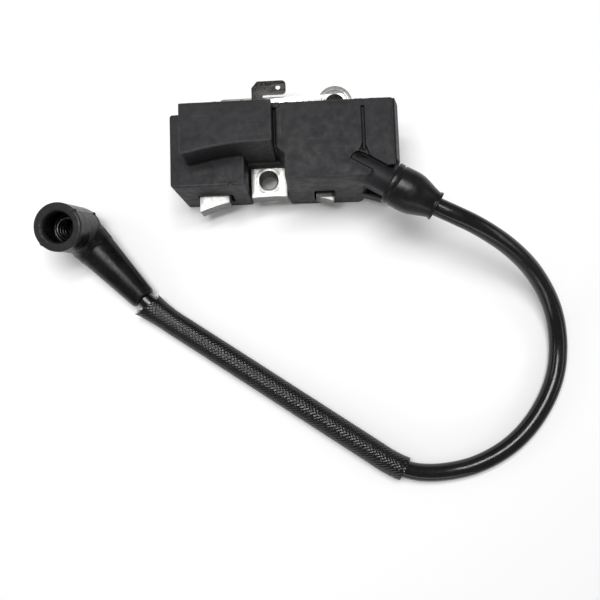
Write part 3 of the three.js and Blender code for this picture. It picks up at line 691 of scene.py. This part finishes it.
def frames_along(points):
    """Tangent and two normals at each point of a line, turned as little as possible from one to the next."""
    tangents = np.gradient(points, axis=0)
    tangents /= np.linalg.norm(tangents, axis=1, keepdims=True)
    side = unit(np.cross(tangents[0], (0, 0, 1)))
    sides = []
    for tangent in tangents:
        side = unit(side - tangent * (side @ tangent))
        sides.append(side)
    sides = np.array(sides)
    return tangents, sides, np.cross(sides, tangents)


def weave_height(turn, along):
    """Height of the weave, 0 to 1, at a turn round the sleeve (0 to 1) and a distance along it."""
    a = turn * STRANDS + along / PICK
    b = turn * STRANDS - along / PICK
    fa, fb = a - np.floor(a), b - np.floor(b)
    over = (np.floor(a) + np.floor(b)) % 2 < 1
    across = np.where(over, fa, fb)
    length = np.where(over, fb, fa)
    ridge = np.sqrt(np.maximum(1 - (2 * across - 1) ** 2, 0))
    return ridge * (0.45 + 0.55 * np.sin(math.pi * length))


def tube_mesh(name, centres, outer, inner, reach):
    """A closed tube. At each ring i, outer(i, turn) and inner(i, turn) give its radii in metres, and
    reach(i, outwards) how far a point is moved along the tube."""
    sides = 108
    tangents, across, up = frames_along(centres)
    turns = np.arange(sides) / sides
    angles = 2 * math.pi * turns
    round_it = np.cos(angles)[:, None] * across[:, None, :] + np.sin(angles)[:, None] * up[:, None, :]
    count = len(centres)
    index = np.arange(count)[:, None]
    moved = tangents[:, None] * reach(index, round_it)[:, :, None]
    rings = [centres[:, None] + moved + round_it * radius(index, turns)[:, :, None]
             for radius in (outer, inner)]
    points = np.concatenate([r.reshape(-1, 3) for r in rings])
    points[:, 2] = np.maximum(points[:, 2], 0)
    faces = []
    within, end = count * sides, (count - 1) * sides
    for k in range(sides):
        n = (k + 1) % sides
        for i in range(count - 1):
            a, b = i * sides, (i + 1) * sides
            faces.append((a + k, b + k, b + n, a + n))
            faces.append((a + k + within, a + n + within, b + n + within, b + k + within))
        faces.append((k, n, n + within, k + within))
        faces.append((end + k, end + k + within, end + n + within, end + n))
    mesh = bpy.data.meshes.new(name)
    mesh.from_pydata(points.tolist(), [], faces)
    return facing_out(mesh)


def lengths_along(points):
    return np.concatenate([[0], np.cumsum(np.linalg.norm(np.diff(points, axis=0), axis=1))])


def evenly(points, count):
    """The same line, with its points at even distances."""
    along = lengths_along(points)
    places = np.linspace(0, along[-1], count)
    return np.stack([np.interp(places, along, points[:, axis]) for axis in range(3)], axis=1)


def make_sleeve():
    centres = evenly(route_between(*SLEEVE_SPAN, 700), 450)
    along = lengths_along(centres) / MM
    to_end = along[-1] - along
    _, across, up = frames_along(centres)
    low_turn = math.atan2(up[-1] @ LOW_SIDE, across[-1] @ LOW_SIDE) / (2 * math.pi)
    flare = 0.25 * np.exp(-to_end / 1.5)
    sag = END_SAG * np.clip(1 - to_end / 8, 0, 1) ** 1.5

    def hanging(i, turn):
        """How far the loose left end stands off the lead, which bends away from it there."""
        return flare[i] + sag[i] * np.clip(np.cos(2 * math.pi * (turn - low_turn)), 0, 1) ** 2

    def outer(i, turn):
        height = weave_height(turn, along[i])
        return (SLEEVE_RADIUS - WEAVE_DEPTH * (1 - height) + hanging(i, turn)) * MM

    def inner(i, turn):
        return (SLEEVE_BORE + hanging(i, turn)) * MM

    def reach(i, outwards):
        """How far the cut ends are drawn out: the left one on the near side, the right on the far."""
        near_left, near_right = np.exp(-to_end[i] / 2.0), np.exp(-along[i] / 2.0)
        left = np.clip(outwards @ LOW_SIDE, -0.4, 1) * near_left
        right = np.clip(-(outwards @ LOW_SIDE), 0, 1) * near_right
        return (1.1 * left - (0.5 + 0.9 * right) * near_right) * MM

    mesh = tube_mesh("woven_sleeve", centres, outer, inner, reach)
    return piece("woven_sleeve", mesh, COIL, "sleeve_braid", "braided_sleeve", angle=60)


def make_frayed_ends():
    """Tufts of yarn at the cut ends of the sleeve, longest low on the left one."""
    fibres = bmesh.new()
    centres = route_between(*SLEEVE_SPAN, 200)
    tangents, across, up = frames_along(centres)
    for end, count, reach, outward in ((-1, 60, 1.1, 1), (0, 24, 0.6, -1)):
        for _ in range(count):
            angle = rng.uniform(0, 2 * math.pi)
            outwards = turned(angle, across[end], up[end])
            low = max(outwards @ LOW_SIDE, 0) if outward > 0 else 0.3
            away = rng.uniform(3.45, SLEEVE_RADIUS) + (1.4 * low**2 if outward > 0 else 0)
            start = centres[end] + (outwards * away + tangents[end] * outward * low) * MM
            length = reach * rng.uniform(0.3, 1.0) * (0.5 + 0.5 * low)
            spread = outwards * rng.uniform(-0.1, 0.5) + rng.normal(0, 0.2, 3)
            heading = unit(tangents[end] * outward + spread)
            curl = rng.normal(0, 0.35, 3)
            points = [start + (heading * s + curl * s * s) * length * MM for s in (-0.6, 0, 0.35, 0.7, 1.0)]
            add_fibre(fibres, points, rng.uniform(0.08, 0.15) * MM)
    mesh = bpy.data.meshes.new("sleeve_frayed_ends")
    fibres.to_mesh(mesh)
    fibres.free()
    return piece("sleeve_frayed_ends", mesh, COIL, "sleeve_braid", angle=60)


def add_fibre(sheet, points, radius):
    """A thin closed rod of five sides along a few points, kept above the floor."""
    points = np.array(points)
    points[:, 2] = np.maximum(points[:, 2], radius * 1.5)
    _, across, up = frames_along(points)
    sides = 5
    rings = []
    for i, centre in enumerate(points):
        size = radius * (1 - 0.5 * i / len(points))
        rings.append([sheet.verts.new(centre + size * turned(2 * math.pi * k / sides, across[i], up[i]))
                      for k in range(sides)])
    for lower, upper in zip(rings, rings[1:]):
        for k in range(sides):
            n = (k + 1) % sides
            sheet.faces.new((lower[k], lower[n], upper[n], upper[k]))
    sheet.faces.new(rings[0][::-1])
    sheet.faces.new(rings[-1])


# ---- strain relief
def lathe(name, profile, start, axis, sides=96):
    """A closed ring turned about an axis from (radius, distance) pairs that close on themselves."""
    axis = unit(axis)
    across = unit(np.cross(axis, (0, 0, 1)))
    up = np.cross(across, axis)
    points, faces = [], []
    for k in range(sides):
        outwards = turned(2 * math.pi * k / sides, across, up)
        points += [(start + axis * along + outwards * radius) * MM for radius, along in profile]
    count = len(profile)
    for k in range(sides):
        n = (k + 1) % sides
        for i in range(count):
            j = (i + 1) % count
            faces.append((k * count + i, k * count + j, n * count + j, n * count + i))
    mesh = bpy.data.meshes.new(name)
    mesh.from_pydata([tuple(p) for p in points], [], faces)
    return facing_out(mesh)


def smooth_profile(points, steps=6):
    """More points between the given ones, on a smooth line through them."""
    points = np.array(points, float)
    padded = np.vstack([2 * points[0] - points[1], points, 2 * points[-1] - points[-2]])
    out = []
    for i in range(1, len(padded) - 2):
        p0, p1, p2, p3 = padded[i - 1:i + 3]
        for k in range(steps):
            s = k / steps
            out.append(0.5 * (2 * p1 + (p2 - p0) * s + (2 * p0 - 5 * p1 + 4 * p2 - p3) * s**2
                              + (3 * p1 - p0 - 3 * p2 + p3) * s**3))
    out.append(points[-1])
    return [tuple(p) for p in out]


def make_strain_relief():
    bore = LEAD_DIAMETER / 2 + 0.3
    socket = 4.2
    end = RELIEF_LENGTH
    bead = smooth_profile([(socket, 0.15), (socket + 0.15, 0), (5.6, 0), (5.95, 0.15), (6.1, 0.5),
                           (6.1, 1.35), (5.98, 1.6), (5.78, 1.78), (5.8, 1.95), (6.0, 2.2)], 4)
    body = smooth_profile([(6.05, 2.5), (6.1, 4.0), (6.1, 6.0), (5.9, 7.8), (5.35, 9.6), (4.75, 11.3),
                           (4.2, 12.9), (3.98, 13.7)], 5)
    lip = smooth_profile([(3.98, 14.0), (4.18, 14.2), (4.22, 14.5), (4.1, end), (3.7, end),
                          (3.45, 14.6), (3.35, 13.9), (bore, 13.7)], 3)
    inside = [(bore, 7.1), (socket, 7.1)]
    mesh = lathe("strain_relief", bead + body + lip + inside, TOWER + TOWER_AXIS * RELIEF_START, TOWER_AXIS)
    return piece("strain_relief", mesh, COIL, "relief_rubber", "strain_relief_boot",
                 slot="boot_rubber", angle=50)


# ---- plug boot
ELBOW = millimetres(swivel["pos_m"])
TAIL_AXIS = unit(swivel["axis"])
MOUTH_AXIS = unit(mounts["plug_boot_mouth"]["axis"])
SEAM_AXIS = unit(np.cross(MOUTH_AXIS, TAIL_AXIS))
HEAD_RADIUS, HEAD_LENGTH, SOCKET_RADIUS, SOCKET_DEPTH = 7.4, 14.25, 4.8, 13.5
TAIL_ROOT, TAIL_END, TAIL_LENGTH, LEAD_BORE = 6.2, 3.95, 30.43, 3.05


def make_plug_boot():
    low, high = cad_box("plug_boot")
    space = Space(low - 1, high + 1, 0.2)
    head = space.rod(ELBOW, MOUTH_AXIS, -1, HEAD_LENGTH, HEAD_RADIUS, edge=0.5)
    elbow = space.ball(ELBOW, HEAD_RADIUS)
    root = space.rod(ELBOW, TAIL_AXIS, 0, 9, TAIL_ROOT + 0.6, TAIL_ROOT, edge=0.3)
    tail = space.rod(ELBOW, TAIL_AXIS, 5, TAIL_LENGTH, 6.45, TAIL_END, edge=0.55)
    along_tail, _ = space.beside(ELBOW, TAIL_AXIS)
    along_head, _ = space.beside(ELBOW, MOUTH_AXIS)
    crotch = np.clip(0.05 + (along_head - 2) * 0.6, 0.05, 2.4)
    body = joined(joined(head, elbow), joined(root, tail, 0.6), crotch)
    beyond = along_tail - along_head
    seam = np.where(beyond > 0, along_head, along_tail)
    ridge = 0.16 * np.exp(-(seam / 0.28) ** 2)
    body = body - ridge
    rim = ELBOW + MOUTH_AXIS * HEAD_LENGTH
    for side in (-1, 1):
        lug = space.ball(rim - MOUTH_AXIS + SEAM_AXIS * side * HEAD_RADIUS, 0.42, (1, 1, 1.8))
        notch = space.rod(rim + MOUTH_AXIS * 0.1, SEAM_AXIS * side, 4.2, 7.0, 0.3)
        body = without(joined(body, lug, 0.3), notch)
    body = joined(body, space.ball(ELBOW + SEAM_AXIS * HEAD_RADIUS, 0.55), 0.4)
    mouth = space.rod(rim, MOUTH_AXIS, -8.0, 3, SOCKET_RADIUS, edge=0.3)
    throat = space.rod(rim, MOUTH_AXIS, -SOCKET_DEPTH, 0, 4.15, edge=0.3)
    flare = space.rod(rim, MOUTH_AXIS, -0.35, 3, SOCKET_RADIUS + 0.3, edge=0.1)
    lead_hole = space.rod(ELBOW, TAIL_AXIS, 1, TAIL_LENGTH + 2, LEAD_BORE)
    body = np.maximum(without(body, mouth, throat, flare, lead_hole), space.box(low, high))
    mesh = space.mesh("elbow_boot", body, 0.002)
    return piece("elbow_boot", mesh, BOOT, "boot_rubber", "plug_boot", angle=60)


def make_plug_spring():
    """The spring's wire, wound finely, in place of the CAD's ten steps a turn."""
    turns, count = 3.5, 140
    across = unit(np.cross(MOUTH_AXIS, (0, 1, 0)))
    up = np.cross(MOUTH_AXIS, across)
    start = HEAD_LENGTH - SOCKET_DEPTH + 1.0
    points = []
    for k in range(count + 1):
        outwards = turned(2 * math.pi * turns * k / count, across, up)
        points.append((ELBOW + MOUTH_AXIS * (start + 6.2 * k / count) + outwards * 3.3) * MM)
    mesh = facing_out(as_mesh(round_curve("plug_spring_wire", points, 0.5 * MM, 4)))
    return piece("plug_spring_wire", mesh, BOOT, "spring_steel", "plug_terminal_spring", angle=60)


# ---- core
SHEETS = 8
LEGS = ((-29.6, -20.4), (-13.3, -2.3), (6.6, 12.0))
SETBACKS = (0, 0, 1.0)
YOKE_Y0, YOKE_Y1 = 9.05, 17.6
YOKE_CHAMFER = (7.8, 5.6)
RIVETS_X, RIVETS_Y = (-24, -7.8, 4.6), 13.15
FLYWHEEL = (-7.8, -76.15, 62.0)
EAR_RADIUS = 5.4


def pole_end(left, right, steps=8):
    """Points of a pole's end, on the arc round the flywheel."""
    points = []
    for k in range(steps + 1):
        x = left + (right - left) * k / steps
        points.append((x, FLYWHEEL[1] + math.sqrt(FLYWHEEL[2] ** 2 - (x - FLYWHEEL[0]) ** 2), 0))
    return points


def sheet_outline():
    corners = []
    for i, (left, right) in enumerate(LEGS):
        corners += [(x, y + SETBACKS[i], radius) for x, y, radius in pole_end(left, right)]
        if i < 2:
            corners += [(right, YOKE_Y0, 0.5), (LEGS[i + 1][0], YOKE_Y0, 0.5)]
    rise = math.asin((YOKE_Y1 - EAR_HOLE[1]) / EAR_RADIUS)
    for k in range(25):
        angle = math.radians(-60) + (math.pi - rise + math.radians(60)) * k / 24
        x, y = EAR_RADIUS * math.cos(angle), EAR_RADIUS * math.sin(angle)
        corners.append((EAR_HOLE[0] + x, EAR_HOLE[1] + y, 0))
    chamfer_x, chamfer_y = YOKE_CHAMFER
    corners += [(LEGS[0][0] + chamfer_x, YOKE_Y1, 0.4), (LEGS[0][0], YOKE_Y1 - chamfer_y, 0.4)]
    return outline(*corners)


def make_core():
    outer = sheet_outline()
    holes = [ring(POLE_HOLE, POLE_BORE, POLE_STRETCH), ring(EAR_HOLE, EAR_BORE)]
    holes += [ring((x, RIVETS_Y), 1.3, count=20) for x in RIVETS_X]
    for i in range(1, SHEETS + 1):
        name, node = f"core_sheet_{i:02d}", f"core_lamination_{i:02d}"
        slip = rng.uniform(-0.03, 0.03, 2)
        if i in (1, SHEETS):
            slip *= 0
        shifted = [(x + slip[0], y + slip[1]) for x, y in outer]
        mesh = flat_plate(name, node, 0.06, shifted, *holes)
        piece(name, mesh, COIL, "core_steel", node, angle=30)


def make_rivets():
    for i in (1, 2, 3):
        name, node = f"round_rivet_{i}", f"core_rivet_{i}"
        low, high = cad_box(node)
        start = np.array((*(low + high)[:2] / 2, low[2]))
        length, head, shank, top = high[2] - low[2], 2.0, 1.2, 0.7
        cap = [(0.02, 0.0), (0.9, 0.02), (1.5, 0.14), (1.85, 0.34), (head, 0.6), (head, top), (shank, top)]
        profile = cap + [(radius, length - along) for radius, along in reversed(cap)]
        mesh = lathe(name, profile, start, (0.0, 0.001, 1.0), 48)
        piece(name, mesh, COIL, "rivet_steel", node, angle=40)


def make_terminal():
    x0, x1, y0, y1 = -12.4, -1.65, 17.55, 21.95
    stem_x1, stem_y0 = -8.9, 4.55
    outer = outline((x0, stem_y0, 0.2), (stem_x1, stem_y0, 0.2), (stem_x1, y0, 0.35), (x1, y0, 1.3),
                    (x1, y1, 1.3), (x0 + 1.8, y1, 0.4), (x0, y1 - 2.1, 0.4))
    hole = ring((x1 - 2.45, (y0 + y1) / 2), 0.75, count=28)
    mesh = flat_plate("spade_terminal", "kill_switch_terminal", 0.1, outer, hole)
    piece("spade_terminal", mesh, COIL, "terminal_steel", "kill_switch_terminal", angle=30)


# ---- case
Block = namedtuple("Block", "x0 x1 y0 y1 top")
LEFT = Block(-35.8, -14.0, -13.55, 8.35, 24.5)
RAISED = Block(-30.8, -4.95, -4.7, 7.35, 35.0)
WEB = Block(-15.0, -1.95, -5.35, 7.85, 17.0)
RIGHT = Block(-4.1, 29.3, -13.95, 8.3, 30.0)
LEDGE = Block(26.0, 31.2, -9.45, 8.3, 29.4)
SEAM = Block(-6.0, -3.0, -4.0, 8.0, 28.6)  # strip between the raised box and the right block
SEAM_END = Block(-6.0, -3.0, 6.8, 8.25, 30.2)
RAISED_CORNER = -7.25  # front left corner of the raised box
FRONT_START, FRONT_HANDLE, FRONT_REACH = 1.2, 9.8, 17.3  # curve of its front, along X
RAISED_BACK = (0.6, 0.5)  # how its back right corner stands out
LEDGE_SLOPE, LEDGE_FOOT = (1.5, 5.4), 24.0  # run and rise of the ledge's end, and where it starts
NOTCH_X, NOTCH_Y, NOTCH_RADIUS = 22.6, -11.25, 2.6  # corner of the right block at the tower
FRONT_SLANT = 0.3
TOWER_RADIUS, TOWER_BORE, BORE_START = 3.9, 3.0, 5.5
SLOT_FAR, SLOT_NEAR = 2.8, -0.6  # sides of the valley along the tower
FOOT_X0, FOOT_X1, FOOT_Z0, FOOT_Z1 = 19.5, 27.6, 6, 11
LEFT_WINDOW, RIGHT_WINDOW = (-29.9, -19.3, 13.6), (6.1, 12.3, 15.3)  # x0, x1 and top
WALL = 1.6
EDGE = 0.45
# Flash along the far edges: x0, x1, y, z and the number of bits.
FLASH = ((-3.5, 28.5, 8.25, 29.8, 16), (-30, -6, 7.3, 34.6, 12), (-35, -31, 8.3, 24.3, 3))


def raised_outline(inset):
    """Plan of the raised box, whose slanting front eases into a straight stretch over the web."""
    x0, x1, corner = RAISED.x0 + inset, RAISED.x1 - inset, RAISED_CORNER + inset
    y0, y1 = RAISED.y0 + inset, RAISED.y1 - inset
    start, steps = x0 + FRONT_START, 12
    points = [(x0, y1, 0.3), (x0, corner, 1.1)]
    for k in range(1, steps):
        s = k / steps
        x = start + FRONT_HANDLE * 2 * s * (1 - s) + FRONT_REACH * s * s
        points.append((x, y0 + (corner - y0) * (1 - s) ** 2, 0))
    points += [(start + FRONT_REACH, y0, 0), (x1, y0, 0.6)]
    points += [(x1, y1 - RAISED_BACK[1], 0.2), (x1 + RAISED_BACK[0], y1, 0.3)]
    return outline(*points)


def right_outline():
    return outline(
        (WEB.x1, RIGHT.y0, 0.9), (NOTCH_X, RIGHT.y0 - FRONT_SLANT, NOTCH_RADIUS), (NOTCH_X, NOTCH_Y, 0.2),
        (RIGHT.x1, NOTCH_Y, 0.3), (RIGHT.x1, RIGHT.y1, 0.9), (RIGHT.x0, RIGHT.y1, 0.3),
        (RIGHT.x0, -4.6, 1.6), (WEB.x1, -6.4, 1.2))


def tower_outline(*corners):
    """An outline from corners (distance along the tower's axis, distance beside it, radius)."""
    ahead, aside = TOWER_AXIS[:2], np.array((-TOWER_AXIS[1], TOWER_AXIS[0]))
    return outline(*[(*(TOWER[:2] + ahead * a + aside * b), radius) for a, b, radius in corners])


def filled(space, block, bottom, edge=0.0):
    return space.box((block.x0, block.y0, bottom), (block.x1, block.y1, block.top), edge)


def left_side(space):
    """The left block, the raised box, the web and the strip beside the right block."""
    x0, x1, y0, y1, top = LEFT
    corners = outline((x0, y0, 0.9), (x1, y0, 0.9), (x1, y1, 0.6), (x0, y1, 0.9))
    block = space.prism(corners, 0, top, EDGE)
    raised = space.prism(raised_outline(0), WEB.top - 1, RAISED.top, EDGE)
    seam = joined(filled(space, SEAM, 14, 0.1), filled(space, SEAM_END, 14, 0.2))
    body = joined(joined(block, raised, 0.5), filled(space, WEB, 12.3, 0.3), 0.6)
    return joined(body, seam, 0.2)


def right_side(space):
    """The right block and its ledge, whose end slopes."""
    run, rise = LEDGE_SLOPE
    block = space.prism(right_outline(), 0, RIGHT.top, EDGE)
    slope = ((space.x - LEDGE.x1) * rise + (space.z - LEDGE_FOOT) * run) / math.hypot(rise, run)
    return joined(block, np.maximum(filled(space, LEDGE, 0, 0.4), slope), 0.2)


def tower_with_ribs(space, body):
    """Adds the tower, with a fillet that widens on its near side, and the ribs under it."""
    rod = space.rod(TOWER, TOWER_AXIS, 0, TOWER_LENGTH, TOWER_RADIUS, edge=0.25)
    tower = joined(rod, space.ball(TOWER, TOWER_RADIUS))
    near = (space.x - TOWER[0]) * TOWER_AXIS[1] - (space.y - TOWER[1]) * TOWER_AXIS[0]
    body = joined(body, tower, np.clip(0.5 + near * 0.8, 0.4, 2.6))
    under = tower_outline((3, -2.2, 0), (11.8, -2.2, 0), (11.8, -0.4, 0), (3, -0.4, 0))
    rib = space.prism(under, 16, 23, 0.2)
    beside = outline((FOOT_X0, -13.0, 0), (FOOT_X1, -15.8, 0.2), (FOOT_X1, -16.5, 0.2), (FOOT_X0, -13.8, 0))
    foot = space.prism(beside, FOOT_Z0, FOOT_Z1, 0.2)
    below = outline((FOOT_X0, -11, 0), (FOOT_X1, -11, 0), (FOOT_X1, -16, 0), (FOOT_X0, -13.2, 0))
    plate = space.prism(below, FOOT_Z0, FOOT_Z0 + 1, 0.1)
    return joined(joined(body, rib, 0.3), joined(foot, plate), 0.3)


def case_outside(space):
    crack = space.box((29.15, -9.6, 29.0), (29.45, 9, 31))
    valley = tower_outline((25, SLOT_NEAR, 0), (25, SLOT_FAR, 0),
                           (-0.9, SLOT_FAR, 2.6), (-0.9, SLOT_NEAR, 0.3))
    slot = space.prism(valley, TOWER[2], 31)
    body = without(joined(left_side(space), right_side(space), 0.3), slot, crack)
    body = tower_with_ribs(space, body)
    return without(moulding_marks(space, body), *groove(space))


def groove(space):
    """Groove in the right block's top, which opens out towards the tower."""
    fan = outline((20.15, -4.6, 0), (20.85, -4.6, 0), (22.3, -8.6, 0), (18.6, -8.2, 0))
    return [space.box((20.15, -6.45, 29.1), (21.05, 6.15, 31), 0.2), space.prism(fan, 29.3, 31)]


def moulding_marks(space, body):
    """Nub of the sprue, and bits of flash along the far edges."""
    body = joined(body, space.ball((-18.1, -13.35, 24.2), 0.55), 0.3)
    marks = np.random.default_rng(3)
    for x0, x1, y, z, count in FLASH:
        for _ in range(count):
            place = (marks.uniform(x0, x1), y - 0.1, z - marks.uniform(0, 0.4))
            radius, stretch = marks.uniform(0.15, 0.3), marks.uniform(1, 4)
            body = joined(body, space.ball(place, radius, (stretch, 1, 1)), 0.15)
    return body


def case_hollows(space):
    left = Block(*(side + inwards * WALL for side, inwards in zip(LEFT, (1, -1, 1, -1, -1))))
    x0, x1 = WEB.x1 + WALL, RIGHT.x1 - WALL
    back, lid, low_top = RIGHT.y1 - WALL, RIGHT.top - WALL, 20
    return [
        filled(space, left, -2, 0.2),
        space.prism(raised_outline(WALL), 18, RAISED.top - WALL),
        space.box((-14.2, RAISED.y0 + WALL, 13.6), (RAISED.x1 - WALL, RAISED.y1 - WALL, 19)),
        space.box((x0, -11.45 + WALL, -2), (x1, back, low_top), 0.2),
        space.box((x0, RIGHT.y0 + WALL, -2), (NOTCH_X - WALL, back, low_top), 0.2),
        space.box((x0, RIGHT.y0 + WALL, low_top - 1), (13.2, back, lid)),
        space.box((13, -2.25, low_top - 1), (x1, back, lid)),
    ]


def case_windows(space):
    """Where the legs and the blade's stem come out, and the tower's bore."""
    sill, lintel = 5.2, 12.3
    x0, x1, top = LEFT_WINDOW
    right_x0, right_x1, right_top = RIGHT_WINDOW
    return [
        space.box((x0, -15, sill), (x1, -11.5, top)),
        space.box((x0, 6.3, sill), (-20.1, 9.5, lintel)),
        space.box((right_x0, -15, sill), (right_x1, -12, right_top)),
        space.box((6.3, 5.8, sill), (right_x1, 9, lintel)),
        space.box((LEFT.x1, -15, -2), (WEB.x1, 9.4, lintel)),
        space.box((-12.7, 4.7, 13.2), (-8.6, 8.9, 14.6)),
        space.rod(TOWER, TOWER_AXIS, BORE_START, 30, TOWER_BORE),
    ]


def make_case():
    low, high = cad_box("coil_case")
    space = Space(low - 0.8, high + 0.8, 0.2)
    body = without(case_outside(space), *case_hollows(space), *case_windows(space))
    mesh = space.mesh("moulded_case", body, 0.006)
    piece("moulded_case", mesh, COIL, "case_plastic", "coil_case", angle=50)


# ---- stage
def make_stage():
    bpy.ops.mesh.primitive_plane_add(size=4)
    floor = bpy.context.object
    floor.name = "floor"
    floor.data.materials.append(Look((0.9, 0.9, 0.9), 0.9).material)
    world = bpy.data.worlds.new("world")
    bpy.context.scene.world = world
    world.use_nodes = True
    background = world.node_tree.nodes["Background"].inputs
    background["Color"].default_value = (1, 1, 1, 1)
    background["Strength"].default_value = 0.24
    bpy.context.scene.view_settings.view_transform = "Standard"


def area_light(name, place, aim, size, power):
    light = in_scene(name, bpy.data.lights.new(name, "AREA"))
    light.data.shape = "RECTANGLE"
    light.data.size, light.data.size_y = size
    light.data.energy = power
    light.location = place
    light.rotation_euler = (Vector(aim) - Vector(place)).to_track_quat("-Z", "Y").to_euler()


def make_lights():
    """Two soft tubes almost overhead, and weak fill from the front and the sides."""
    for name, y in (("lamp_near", 0.0), ("lamp_far", 0.09)):
        area_light(name, (-0.03, y, 0.46), (-0.01, y - 0.05, 0.0), (0.28, 0.05), 1.0)
    area_light("fill_left", (-0.40, -0.02, 0.24), (0, -0.05, 0), (0.30, 0.10), 0.24)
    area_light("fill_front", (0, -0.45, 0.14), (0, 0, 0.01), (0.40, 0.08), 0.30)
    area_light("fill_right", (0.42, -0.06, 0.24), (0, -0.05, 0), (0.30, 0.10), 0.20)


make_stage()
make_lights()

lead = make_lead()
sleeve = make_sleeve()
frayed = make_frayed_ends()
relief = make_strain_relief()
boot = make_plug_boot()
spring = make_plug_spring()
make_core()
make_rivets()
make_terminal()
make_case()

slot_of = {row["node"]: row["material_slot"] for row in frame["record"]["subparts"]}
for name, node in frame["nodes"].items():
    if not node.hide_render:
        node.data.materials.clear()
        node.data.materials.append(looks[slot_of[name]])
